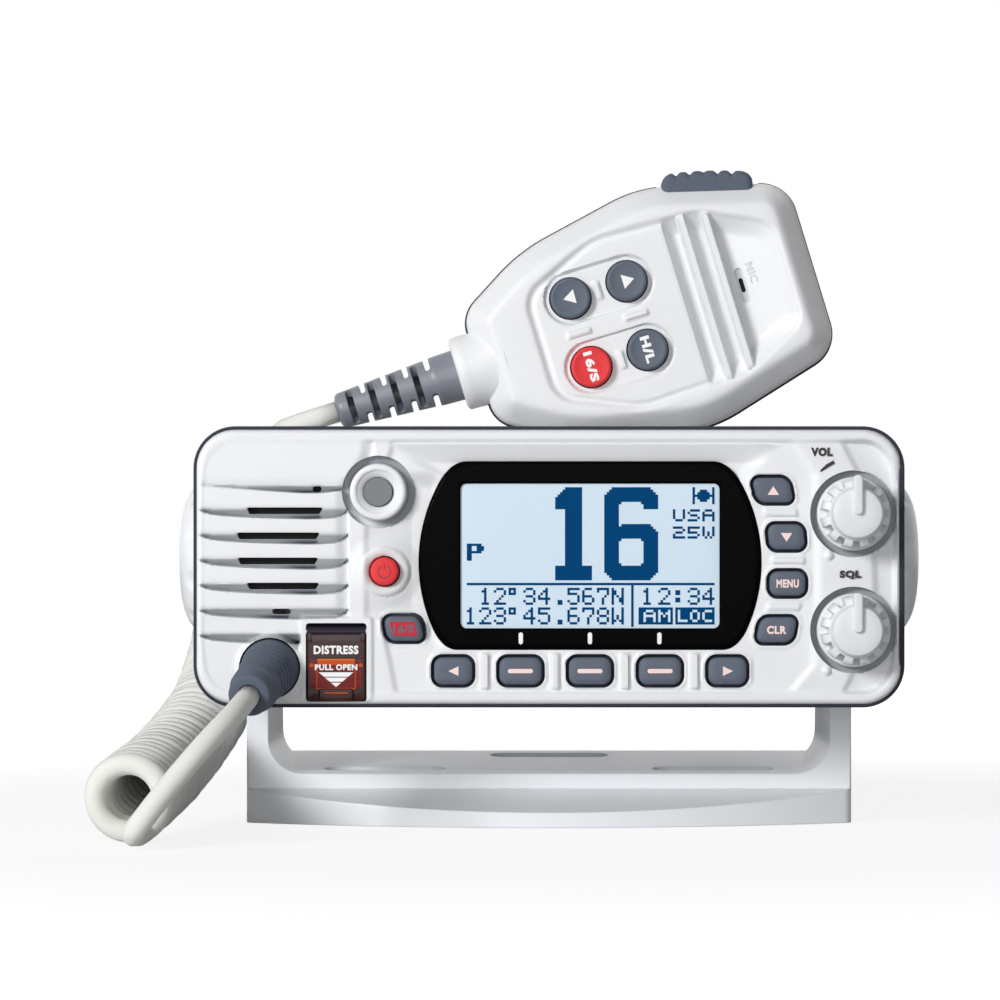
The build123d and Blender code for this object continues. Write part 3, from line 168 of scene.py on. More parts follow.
def rounded_corners(corners: Sequence[tuple[float, float, float]], steps: int = 14) -> list[Point2]:
    """Points round a closed outline whose corners are rounded.

    Args:
        corners: The corners as (x, z, radius), in order.
        steps: Points on each rounded corner.

    Returns:
        The outline's points, in order.
    """
    points: list[Point2] = []
    count = len(corners)
    for i, (x, z, radius) in enumerate(corners):
        here = np.array([x, z])
        before = np.array(corners[i - 1][:2]) - here
        after = np.array(corners[(i + 1) % count][:2]) - here
        before /= np.linalg.norm(before)
        after /= np.linalg.norm(after)
        half = math.acos(float(np.clip(before @ after, -1, 1))) / 2
        middle = before + after
        middle /= np.linalg.norm(middle)
        centre = here + middle * radius / math.sin(half)
        start = here + before * radius / math.tan(half) - centre
        end = here + after * radius / math.tan(half) - centre
        a0, a1 = math.atan2(start[1], start[0]), math.atan2(end[1], end[0])
        turn = (a1 - a0 + math.pi) % (2 * math.pi) - math.pi
        for k in range(steps + 1):
            a = a0 + turn * k / steps
            points.append((float(centre[0] + radius * math.cos(a)), float(centre[1] + radius * math.sin(a))))
    return points


# ---------------------------------------------------------------- meshes
class Body(Enum):
    """The bodies that carry pieces of these looks."""

    RADIO = "radio"
    LEFT_KNOB = "left_knob"
    RIGHT_KNOB = "right_knob"
    VOLUME = "volume_control"
    SQUELCH = "squelch_control"
    LID = "distress_lid"
    MICROPHONE = "microphone"
    TALK = "talk_key"


def key_body(node: str) -> str:
    """Name of the body that carries a key's node."""
    return f"{node}_body"


def body_name(body: Body | str) -> str:
    """A body's name as the frame has it."""
    return body.value if isinstance(body, Body) else body


def in_scene(name: str, data: bpy.types.ID) -> bpy.types.Object:
    """A new object of the scene for a mesh, curve, lamp or camera."""
    thing = bpy.data.objects.new(name, data)
    bpy.context.scene.collection.objects.link(thing)
    return thing


def plain_mesh(name: str, points: Array, faces: Iterable[Sequence[int]],
               smooth_angle: float = SMOOTH_ANGLE) -> bpy.types.Mesh:
    """A mesh from points in millimetres, shaded smooth up to an angle.

    Args:
        name: The mesh's name.
        points: Its vertices, n by 3, in millimetres.
        faces: Vertex numbers of each face, turning left seen from outside.
        smooth_angle: Edges sharper than this stay hard, in degrees.

    Returns:
        The mesh, in metres.
    """
    mesh = bpy.data.meshes.new(name)
    mesh.from_pydata((np.asarray(points, float) * MM).tolist(), [], [tuple(int(i) for i in f) for f in faces])
    mesh.validate()
    mesh.shade_smooth()
    mesh.set_sharp_from_angle(angle=math.radians(smooth_angle))
    return mesh


def place_piece(name: str, mesh: bpy.types.Mesh, material: bpy.types.Material, body: Body | str | None,
                stands_for: Sequence[str] = (), painted_shade: Array | None = None) -> bpy.types.Object:
    """Put a finished mesh on its body.

    Args:
        name: The piece's name.
        mesh: Its mesh, in the radio's own frame.
        material: Its finish.
        body: The body it moves with, or None to leave it unattached.
        stands_for: The part nodes it is shown for.
        painted_shade: Painted shade of each point, 0 to 1, or None, which darkens its colour towards the
            finish's shade colour where recesses lie in shade.

    Returns:
        The new object.
    """
    # painted shade marks, kept on the mesh for its finish
    if painted_shade is not None:
        mark = mesh.attributes.new(PAINTED_SHADE, "FLOAT", "POINT")
        mark.data.foreach_set("value", np.clip(painted_shade, 0, 1).astype(np.float32))
    piece = in_scene(name, mesh)
    mesh.materials.clear()
    mesh.materials.append(material)
    if body:
        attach(piece, body_name(body))
    if stands_for:
        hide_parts(*stands_for)
    LOG.info("%s: %d faces on %s", name, len(mesh.polygons), body_name(body) if body else "two bodies")
    return piece


def joined(parts: Sequence[Shape]) -> Shape:
    """Several point-and-face lists as one."""
    points: list[Array] = []
    faces: list[tuple[int, ...]] = []
    shift = 0
    for part_points, part_faces in parts:
        points.append(np.asarray(part_points, float))
        faces += [tuple(i + shift for i in f) for f in part_faces]
        shift += len(part_points)
    return np.vstack(points), faces


def read_back(holder: bpy.types.Object) -> Shape:
    """Points and faces of a helper object as it is evaluated; the helper is removed."""
    mesh = bpy.data.meshes.new_from_object(holder.evaluated_get(bpy.context.evaluated_depsgraph_get()))
    points = np.array([v.co[:] for v in mesh.vertices])
    faces = [tuple(f.vertices) for f in mesh.polygons]
    bpy.data.objects.remove(holder)
    bpy.data.meshes.remove(mesh)
    return points, faces


def turned(profile: Sequence[Point2], count: int, origin: Point3 = (0, 0, 0), axis: Point3 = (0, 0, 1),
           radius_at: Callable[[Array, float, float], Array] | None = None) -> Shape:
    """A shape of revolution.

    Args:
        profile: (radius, height) points from the lower pole to the upper one.
        count: Points round the axis.
        origin: Where height 0 is.
        axis: The direction of height, out of a plane where none is given.
        radius_at: Changes the radius from (angles, radius, height), for lobes and flutes.

    Returns:
        Its points and faces, the faces pointing outwards.
    """
    frame = np.array(Vector(axis).normalized().to_track_quat("Z", "Y").to_matrix())
    angles = np.arange(count) * 2 * math.pi / count
    rings: list[Array] = []
    faces: list[tuple[int, ...]] = []
    starts: list[int] = []
    total = 0
    for radius, height in profile:
        starts.append(total)
        if radius < POLE_RADIUS:
            rings.append(np.array([[0.0, 0.0, height]]))
            total += 1
            continue
        r = radius_at(angles, radius, height) if radius_at else np.full(count, radius)
        rings.append(np.column_stack([r * np.cos(angles), r * np.sin(angles), np.full(count, height)]))
        total += count
    for k in range(len(profile) - 1):
        a, b = starts[k], starts[k + 1]
        low, high = len(rings[k]), len(rings[k + 1])
        pairs = [(i, (i + 1) % count) for i in range(count)] if max(low, high) > 1 else []
        if low == 1:
            faces += [(a, b + j, b + i) for i, j in pairs]
        elif high == 1:
            faces += [(a + i, a + j, b) for i, j in pairs]
        else:
            faces += [(a + i, a + j, b + j, b + i) for i, j in pairs]
    points = np.vstack(rings) @ frame.T + np.array(origin, float)
    return points, faces


# ---------------------------------------------------------------- node trees
@dataclass
class Wiring:
    """Adds nodes to one tree, each with its settings and what goes into its sockets."""

    tree: bpy.types.NodeTree

    def add(self, kind: str, inputs: dict[str | int, object] | None = None,
            **settings: object) -> bpy.types.Node:
        """Add a node.

        Args:
            kind: Its type.
            inputs: The socket that feeds each of its own, or a constant.
            settings: Its settings, such as its operation.

        Returns:
            The new node.
        """
        node = self.tree.nodes.new(kind)
        for key, value in settings.items():
            setattr(node, key, value)
        self.feed(node, inputs or {})
        return node

    def feed(self, node: bpy.types.Node, inputs: dict[str | int, object]) -> None:
        """Link or set sockets of a node.

        Args:
            node: The node.
            inputs: The socket that feeds each of its own, or a constant.
        """
        for socket, value in inputs.items():
            if isinstance(value, bpy.types.NodeSocket):
                self.tree.links.new(value, node.inputs[socket])
            else:
                node.inputs[socket].default_value = value


class Copies:
    """Geometry Nodes that set copies of one shape in a row."""

    @staticmethod
    @cache
    def tree() -> bpy.types.GeometryNodeTree:
        """The node tree: the object's own shape, repeated by a step."""
        tree = bpy.data.node_groups.new("set_of_copies", "GeometryNodeTree")
        for label, kind in (("Shape", "Geometry"), ("Count", "Int"), ("Step", "Vector"),
                            ("Material", "Material")):
            tree.interface.new_socket(name=label, in_out="INPUT", socket_type=f"NodeSocket{kind}")
        tree.interface.new_socket(name="Geometry", in_out="OUTPUT", socket_type="NodeSocketGeometry")
        wires = Wiring(tree)
        given = wires.add("NodeGroupInput").outputs
        line = wires.add("GeometryNodeMeshLine", {"Count": given["Count"], "Offset": given["Step"]},
                         mode="OFFSET")
        copies = wires.add("GeometryNodeInstanceOnPoints",
                           {"Points": line.outputs["Mesh"], "Instance": given["Shape"]})
        real = wires.add("GeometryNodeRealizeInstances", {"Geometry": copies.outputs["Instances"]})
        finish = wires.add("GeometryNodeSetMaterial",
                           {"Geometry": real.outputs["Geometry"], "Material": given["Material"]})
        wires.add("NodeGroupOutput", {"Geometry": finish.outputs["Geometry"]})
        return tree

    @classmethod
    def make(cls, shape: Shape, count: int, finish: Finish, step: Point3) -> Shape:
        """Repeat a shape through the node tree and read the result back.

        Args:
            shape: Points and faces of one copy, in millimetres.
            count: How many copies.
            finish: The finish of the piece they belong to.
            step: Shift from one copy to the next.

        Returns:
            Points and faces of all copies.
        """
        mesh = bpy.data.meshes.new("one_copy")
        mesh.from_pydata(np.asarray(shape[0], float).tolist(), [], [tuple(f) for f in shape[1]])
        holder = in_scene("one_copy", mesh)
        modifier = holder.modifiers.new("copies", "NODES")
        modifier.node_group = cls.tree()
        sockets = {item.name: item.identifier for item in cls.tree().interface.items_tree
                   if item.in_out == "INPUT"}
        modifier[sockets["Count"]] = count
        modifier[sockets["Step"]] = tuple(float(v) for v in step)
        modifier[sockets["Material"]] = finish.material()
        bpy.context.view_layer.update()
        return read_back(holder)


# ---------------------------------------------------------------- relief surfaces
@dataclass
class Relief:
    """A fine sheet over an outline, raised by a height rule and pierced by holes.

    Attributes:
        outline: The sheet's edge.
        low: Lower corner of the sheet's box.
        high: Upper corner of the sheet's box.
        cell: Side of one square of the sheet.
        height: Height of the sheet over its base plane.
        holes: Openings, each with the depth its wall goes down to.
        creases: Lines on which the sheet's points are set, so that steps come out clean.
        edge_depth: Height that the outer wall goes down to.
    """

    outline: Field2D
    low: Point2
    high: Point2
    cell: float
    height: Field2D
    holes: list[tuple[Field2D, float]] = field(default_factory=list)
    creases: list[Field2D] = field(default_factory=list)
    edge_depth: float = -10.0

    def _pulled(self, points: Array, rule: Field2D, limit: float) -> tuple[Array, Array]:
        """Move the points within limit of an outline onto it, and say which moved."""
        step = 0.02
        x, z = points[:, 0], points[:, 1]
        d = rule(x, z)
        near = np.abs(d) < limit
        gx = (rule(x + step, z) - rule(x - step, z)) / (2 * step)
        gz = (rule(x, z + step) - rule(x, z - step)) / (2 * step)
        size = np.maximum(np.hypot(gx, gz), 0.3)
        moved = points.copy()
        moved[:, 0] = np.where(near, x - d * gx / size ** 2, x)
        moved[:, 1] = np.where(near, z - d * gz / size ** 2, z)
        return moved, near

    def build(self) -> Shape:
        """Make the sheet with its walls.

        Returns:
            Points as (x, z, height) and faces turning left seen from outside.
        """
        nx = int(round((self.high[0] - self.low[0]) / self.cell)) + 1
        nz = int(round((self.high[1] - self.low[1]) / self.cell)) + 1
        xs, zs = np.meshgrid(np.linspace(self.low[0], self.high[0], nx),
                             np.linspace(self.low[1], self.high[1], nz))
        points = np.column_stack([xs.ravel(), zs.ravel()])
        numbers = np.arange(nx * nz).reshape(nz, nx)
        quads = np.stack([numbers[:-1, :-1], numbers[:-1, 1:], numbers[1:, 1:], numbers[1:, :-1]],
                         axis=-1).reshape(-1, 4)
        taken = np.zeros(len(points), bool)
        for rule in [h for h, _ in self.holes] + [self.outline] + self.creases:
            moved, near = self._pulled(points, rule, 0.5 * self.cell)
            use = near & ~taken
            points[use] = moved[use]
            taken |= use
        middle = points[quads].mean(axis=1)
        kept = self.outline(middle[:, 0], middle[:, 1]) < 0
        for rule, _ in self.holes:
            kept &= rule(middle[:, 0], middle[:, 1]) > 0
        quads = quads[kept]
        edges = np.stack([quads, np.roll(quads, -1, axis=1)], axis=-1).reshape(-1, 2)
        keys = edges.min(axis=1).astype(np.int64) * len(points) + edges.max(axis=1)
        _, first, counts = np.unique(keys, return_index=True, return_counts=True)
        border = edges[first[counts == 1]]
        rim = np.unique(border)
        rules = [self.outline] + [h for h, _ in self.holes]
        depths = np.array([self.edge_depth] + [d for _, d in self.holes])
        for _ in range(2):
            x, z = points[rim, 0], points[rim, 1]
            nearest = np.argmin(np.abs(np.stack([rule(x, z) for rule in rules])), axis=0)
            for n, rule in enumerate(rules):
                mine = rim[nearest == n]
                if len(mine):
                    points[mine] = self._pulled(points[mine], rule, 5 * self.cell)[0]
        heights = self.height(points[:, 0], points[:, 1])
        surface = np.column_stack([points, heights])
        foot = surface[rim].copy()
        foot[:, 2] = depths[nearest]
        foot_number = {int(v): len(surface) + k for k, v in enumerate(rim)}
        faces: list[tuple[int, ...]] = [tuple(q) for q in quads.tolist()]
        for a, b in border.tolist():
            faces.append((b, a, foot_number[a], foot_number[b]))
        everything = np.vstack([surface, foot])
        used = np.unique(np.concatenate([quads.ravel(), border.ravel(), len(surface) + np.arange(len(rim))]))
        renumber = np.full(len(everything), -1)
        renumber[used] = np.arange(len(used))
        return everything[used], [tuple(renumber[list(f)].tolist()) for f in faces]


# ---------------------------------------------------------------- finishes
def shader_group(name: str, inputs: Sequence[tuple[str, str, object]], outputs: Sequence[tuple[str, str]]
                 ) -> tuple[bpy.types.ShaderNodeTree, bpy.types.NodeOutputs, bpy.types.Node]:
    """A new shader node group.

    Args:
        name: The group's name.
        inputs: (name, kind of socket, default) of each input.
        outputs: (name, kind of socket) of each output.

    Returns:
        The tree, what its inputs give, and its output node.
    """
    tree = bpy.data.node_groups.new(name, "ShaderNodeTree")
    for label, kind, default in inputs:
        socket = tree.interface.new_socket(name=label, in_out="INPUT", socket_type=f"NodeSocket{kind}")
        if default is not None:
            socket.default_value = default
    for label, kind in outputs:
        tree.interface.new_socket(name=label, in_out="OUTPUT", socket_type=f"NodeSocket{kind}")
    return tree, tree.nodes.new("NodeGroupInput").outputs, tree.nodes.new("NodeGroupOutput")


class SurfaceGroups:
    """The shader node groups that the finishes share, each built once."""

    @staticmethod
    @cache
    def moulded() -> bpy.types.ShaderNodeTree:
        """Fine moulded grain with slow changes of tone and gloss."""
        tree, given, out = shader_group(
            "moulded_grain",
            [("Colour", "Color", (0.8, 0.8, 0.8, 1)), ("Tone", "Float", 0.04), ("Roughness", "Float", 0.4),
             ("Gloss Spread", "Float", 0.08), ("Grain Scale", "Float", 2600.0),
             ("Grain Depth", "Float", 0.00002), ("Normal", "Vector", None)],
            [("Colour", "Color"), ("Roughness", "Float"), ("Normal", "Vector")])
        wires = Wiring(tree)
        place = wires.add("ShaderNodeTexCoord").outputs["Object"]
        slow = wires.add("ShaderNodeTexNoise", {"Vector": place, "Scale": 38.0, "Detail": 3.0})
        grain = wires.add("ShaderNodeTexNoise",
                          {"Vector": place, "Scale": given["Grain Scale"], "Detail": 2.0})
        centred = wires.add("ShaderNodeMath", {0: slow.outputs["Fac"], 1: 0.5},
                            operation="SUBTRACT").outputs[0]
        tone = wires.add("ShaderNodeMath", {0: centred, 1: given["Tone"], 2: 1.0}, operation="MULTIPLY_ADD")
        toned = wires.add("ShaderNodeVectorMath", {0: given["Colour"], "Scale": tone.outputs[0]},
                          operation="SCALE")
        rough = wires.add("ShaderNodeMath", {0: centred, 1: given["Gloss Spread"], 2: given["Roughness"]},
                          operation="MULTIPLY_ADD")
        bump = wires.add("ShaderNodeBump", {"Strength": 1.0, "Distance": given["Grain Depth"],
                                            "Height": grain.outputs["Fac"], "Normal": given["Normal"]})
        wires.feed(out,
                   {"Colour": toned.outputs[0], "Roughness": rough.outputs[0],
                    "Normal": bump.outputs["Normal"]})
        return tree

    @staticmethod
    @cache
    def worn_and_highlit_edge() -> bpy.types.ShaderNodeTree:
        """Mask of the edges, from how far the rounded normal leaves the true one, broken up by noise; the
        lighter edge colour is partly rubbed edges and partly a painted highlight.
        """
        tree, given, out = shader_group(
            "worn_and_highlit_edge",
            [("Colour", "Color", (0.8, 0.8, 0.8, 1)), ("Edge Colour", "Color", (1, 1, 1, 1)),
             ("Amount", "Float", 0.2), ("Rounded Normal", "Vector", None)],
            [("Colour", "Color"), ("Mask", "Float")])
        wires = Wiring(tree)
        true_normal = wires.add("ShaderNodeNewGeometry").outputs["Normal"]
        dot = wires.add("ShaderNodeVectorMath", {0: given["Rounded Normal"], 1: true_normal},
                        operation="DOT_PRODUCT")
        spread = wires.add("ShaderNodeMapRange",
                           {"Value": dot.outputs["Value"], "From Min": 0.99, "From Max": 0.75})
        place = wires.add("ShaderNodeTexCoord").outputs["Object"]
        patches = wires.add("ShaderNodeTexNoise", {"Vector": place, "Scale": 220.0, "Detail": 4.0})
        broken = wires.add("ShaderNodeMath", {0: spread.outputs["Result"], 1: patches.outputs["Fac"]},
                           operation="MULTIPLY")
        mask = wires.add("ShaderNodeMath", {0: broken.outputs[0], 1: given["Amount"]}, operation="MULTIPLY",
                         use_clamp=True).outputs[0]
        mix = wires.add("ShaderNodeMix", data_type="RGBA")
        wires.feed(mix, {"Factor": mask, 6: given["Colour"], 7: given["Edge Colour"]})
        wires.feed(out, {"Colour": mix.outputs[2], "Mask": mask})
        return tree


@dataclass(frozen=True)
class Finish:
    """One finish of the radio.

    Attributes:
        name: Material name.
        colour: Base colour.
        roughness: Middle roughness.
        tone: How much the tone wanders.
        gloss_spread: How much the gloss wanders.
        grain_scale: Grain fineness; larger is finer.
        grain_depth: Grain depth, in metres.
        edge: Radius of the softened edges, in millimetres, 0 for none.
        edge_wear_and_sheen: How far the edges lighten, partly as rubbed edges and partly as a painted
            highlight.
        edge_wear_and_sheen_colour: Colour of the lightened edges, rubbed and painted highlight.
        metallic: 1 for bare metal.
        coat: Clear coat weight.
        transmission: Share of light let through.
        glow: Strength of its own light.
        specular: Specular level.
        painted_shade_colour: Painted shade colour that the mesh's marks darken it towards, or None.
    """

    name: str
    colour: Colour
    roughness: float = 0.42
    tone: float = 0.05
    gloss_spread: float = 0.1
    grain_scale: float = 2600.0
    grain_depth: float = 0.00001
    edge: float = 0.18
    edge_wear_and_sheen: float = 0.0
    edge_wear_and_sheen_colour: Colour = (0.9, 0.9, 0.9)
    metallic: float = 0.0
    coat: float = 0.0
    transmission: float = 0.0
    glow: float = 0.0
    specular: float = 0.5
    painted_shade_colour: Colour | None = None

    def material(self) -> bpy.types.Material:
        """The finish as a material, made once."""
        found = bpy.data.materials.get(self.name)
        if found:
            return found
        material = bpy.data.materials.new(self.name)
        material.use_nodes = True
        wires = Wiring(material.node_tree)
        shader = material.node_tree.nodes["Principled BSDF"]
        wires.feed(shader,
                   {"Metallic": self.metallic, "Specular IOR Level": self.specular, "Coat Weight": self.coat,
                    "Coat Roughness": 0.08, "Transmission Weight": self.transmission})
        colour = (*self.colour, 1)
        grain = wires.add("ShaderNodeGroup", node_tree=SurfaceGroups.moulded())
        wires.feed(grain, {"Tone": self.tone, "Roughness": self.roughness, "Gloss Spread": self.gloss_spread,
                           "Grain Scale": self.grain_scale, "Grain Depth": self.grain_depth,
                           "Colour": colour})
        if self.edge:
            soft = wires.add("ShaderNodeBevel", {"Radius": self.edge * MM}, samples=4).outputs["Normal"]
            wires.feed(grain, {"Normal": soft})
            # lighter edges: partly rubbed edges, partly a painted highlight on the edges
            if self.edge_wear_and_sheen:
                worn_and_highlit = wires.add("ShaderNodeGroup", node_tree=SurfaceGroups.worn_and_highlit_edge())
                wires.feed(worn_and_highlit,
                           {"Colour": colour, "Edge Colour": (*self.edge_wear_and_sheen_colour, 1), "Amount": self.edge_wear_and_sheen,
                            "Rounded Normal": soft})
                wires.feed(grain, {"Colour": worn_and_highlit.outputs["Colour"]})
        else:
            wires.feed(grain, {"Normal": wires.add("ShaderNodeNewGeometry").outputs["Normal"]})
        # painted shade: the mesh's per-point marks darken the colour towards the shade colour in recesses
        if self.painted_shade_colour:
            marked = wires.add("ShaderNodeAttribute", attribute_name=PAINTED_SHADE)
            shade = wires.add("ShaderNodeMix", data_type="RGBA")
            wires.feed(shade, {"Factor": marked.outputs["Fac"], 6: colour, 7: (*self.painted_shade_colour, 1)})
            wires.feed(grain, {"Colour": shade.outputs[2]})
        wires.feed(shader, {"Base Color": grain.outputs["Colour"], "Roughness": grain.outputs["Roughness"],
                            "Normal": grain.outputs["Normal"]})
        if self.glow:
            wires.feed(shader, {"Emission Color": grain.outputs["Colour"], "Emission Strength": self.glow})
        return material


# The white moulding's dark blue-grey shade colour is painted shade for the grille troughs, the boot pocket,
# the sensor groove and the well floors.
WHITE_GRAINED = Finish("white_moulding", (0.80, 0.81, 0.825), 0.46, 0.03, 0.08, 2300.0, 0.000035, edge=0.0,
                       painted_shade_colour=(0.085, 0.105, 0.135))
WHITE_SHELL = Finish("white_shell", (0.80, 0.81, 0.825), 0.46, 0.03, 0.08, 2300.0, 0.00003, edge=0.3)
# A grey darker than the white moulding: painted shade for the sunken sound-slot dish and the raised MIC mark.
SHADE_GREY = Finish("painted_shade_grey", (0.62, 0.64, 0.67), 0.46, 0.03, 0.08, edge=0.0)
WHITE_KNOB = Finish("white_knob", (0.74, 0.76, 0.785), 0.4, 0.03, 0.08, 2600.0, 0.000006, edge=0.25)
BRACKET_WHITE = Finish("bracket_white", (0.84, 0.86, 0.89), 0.3, 0.03, 0.08, 700.0, 0.000004, edge=0.5)
SEAL = Finish("dark_seal", (0.012, 0.018, 0.035), 0.5, 0.1, 0.1, edge=0.1)
LENS_BLACK = Finish("lens_black", (0.0014, 0.0014, 0.0018), 0.2, 0.1, 0.05, 500.0, 0.0000005, edge=0.25,
                    specular=0.012)
BACKLIGHT = Finish("display_backlight", (0.575, 0.69, 0.785), 0.45, 0.015, 0.05, 5200.0, 0.000002, edge=0.0,
                   glow=0.13, specular=0.06)
SEGMENT = Finish("display_segments", (0.0, 0.055, 0.175), 0.5, 0.05, 0.05, edge=0.0, specular=0.03)
# The lighter edge colours of the keys, boots and heatsink are partly rubbed edges and partly a painted edge
# highlight.
SLATE = Finish("slate_key", (0.072, 0.097, 0.145), 0.42, 0.06, 0.1, 3200.0, 0.000006, edge=0.3, edge_wear_and_sheen=0.5,
               edge_wear_and_sheen_colour=(0.30, 0.34, 0.40), specular=0.35)
LEGEND = Finish("key_legend", (0.93, 0.70, 0.66), 0.45, 0.04, 0.08, edge=0.0)
LEGEND_WHITE = Finish("white_legend", (0.90, 0.90, 0.90), 0.45, 0.03, 0.08, edge=0.0)
LEGEND_BLACK = Finish("black_legend", (0.01, 0.01, 0.012), 0.5, 0.1, 0.08, edge=0.0)
RED = Finish("red_key", (0.58, 0.004, 0.008), 0.34, 0.05, 0.1, 3200.0, 0.000005, edge=0.3, specular=0.25)
RED_MARK = Finish("red_mark", (0.52, 0.016, 0.035), 0.4, 0.05, 0.1, edge=0.0, specular=0.25)
DARK_RED_MARK = Finish("dark_red_mark", (0.33, 0.008, 0.012), 0.4, 0.05, 0.1, edge=0.0)
SENSOR = Finish("sensor_window", (0.115, 0.124, 0.132), 0.3, 0.06, 0.1, 900.0, 0.000006, edge=0.1, coat=0.1)
LID_SMOKE = Finish("distress_lid_smoke", (0.045, 0.013, 0.011), 0.16, 0.1, 0.05, 600.0, 0.000001, edge=0.2,
                   transmission=0.25, specular=0.12)
LID_HINGE = Finish("distress_lid_hinge", (0.016, 0.010, 0.022), 0.3, 0.1, 0.1, 900.0, 0.000002, edge=0.2,
                   specular=0.2)
LID_RED = Finish("distress_lid_red", (0.165, 0.014, 0.014), 0.2, 0.15, 0.05, 900.0, 0.000001, edge=0.0,
                 specular=0.1)
LID_BAND = Finish("distress_lid_band", (0.56, 0.075, 0.014), 0.25, 0.25, 0.1, 900.0, 0.000001, edge=0.0,
                  specular=0.1)
LID_LIGHT = Finish("distress_lid_light", (0.68, 0.19, 0.02), 0.25, 0.15, 0.1, 900.0, 0.000001, edge=0.0,
                   specular=0.1)
BOOT = Finish("boot_rubber", (0.088, 0.105, 0.14), 0.55, 0.08, 0.1, 2200.0, 0.00002, edge=0.3, edge_wear_and_sheen=0.25,
              edge_wear_and_sheen_colour=(0.22, 0.25, 0.3))
JACKET = Finish("cord_jacket", (0.91, 0.905, 0.875), 0.4, 0.04, 0.1, 900.0, 0.000008, edge=0.0)
MIC_BOOT = Finish("mic_boot_rubber", (0.19, 0.205, 0.24), 0.4, 0.08, 0.1, 2200.0, 0.000012, edge=0.25,
                  edge_wear_and_sheen=0.35, edge_wear_and_sheen_colour=(0.34, 0.37, 0.42), specular=0.6)
CAST = Finish("cast_heatsink", (0.34, 0.35, 0.37), 0.5, 0.12, 0.15, 1500.0, 0.00005, edge=0.3, edge_wear_and_sheen=0.5,
              edge_wear_and_sheen_colour=(0.75, 0.76, 0.78), metallic=0.75)
PLATED = Finish("nickel_plate", (0.68, 0.67, 0.63), 0.24, 0.06, 0.12, 1200.0, 0.000004, edge=0.2,
                metallic=1.0)
STEEL = Finish("stainless_steel", (0.56, 0.56, 0.57), 0.32, 0.1, 0.15, 1500.0, 0.000006, edge=0.15,
               metallic=1.0)
BOARD = Finish("solder_mask", (0.02, 0.16, 0.06), 0.4, 0.2, 0.1, 800.0, 0.00001, edge=0.1)
SILICONE = Finish("black_silicone", (0.02, 0.02, 0.023), 0.6, 0.1, 0.1, 1800.0, 0.00001, edge=0.25)
CLOTH = Finish("speaker_cloth", (0.004, 0.004, 0.005), 0.85, 0.3, 0.1, 3000.0, 0.00008, edge=0.0)
SPEAKER_BLACK = Finish("speaker_black", (0.015, 0.015, 0.015), 0.6, 0.2, 0.1, 900.0, 0.00002, edge=0.2)

CAD_NODES: tuple[tuple[Finish, str], ...] = (
    (BRACKET_WHITE, "bracket left_clamp_knob right_clamp_knob"),
    (WHITE_SHELL, "case_body mic_back_shell front_panel mic_front_shell"),
    (WHITE_KNOB, "volume_knob squelch_knob"),
    (SEAL, "panel_gasket mic_gasket"),
    (LENS_BLACK, "display_lens"),
    (BACKLIGHT, "display_module"),
    (SENSOR, "sensor_window"),
    (SLATE, "left_key soft_key_1 soft_key_2 soft_key_3 right_key up_key down_key menu_key clear_key"),
    (SLATE, "channel_16_key mic_down_key mic_up_key mic_power_level_key"),
    (RED, "distress_button power_key mic_16_key"),
    (LID_SMOKE, "distress_cover"),
    (BOOT, "front_cord_boot push_to_talk_key mic_cord_boot"),
    (JACKET, "cord_lead cord_coil cord_tail"),
    (CAST, "heatsink"),
    (PLATED, "antenna_socket mic_hanger_stud mic_capsule"),
    (STEEL, "rotary_encoders volume_shaft squelch_shaft distress_hinge_pin rf_module case_screws mic_screws"),
    (BOARD, "front_board main_board mic_board"),
    (SILICONE, "left_washer right_washer key_mat distress_switch power_gland accessory_gland"),
    (CLOTH, "speaker_mesh"),
    (SPEAKER_BLACK, "speaker"))


def dress_cad_nodes(nodes: dict[str, bpy.types.Object]) -> None:
    """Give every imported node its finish.

    Args:
        nodes: The frame's nodes by name.
    """
    for finish, names in CAD_NODES:
        for name in names.split():
            nodes[name].data.materials.clear()
            nodes[name].data.materials.append(finish.material())


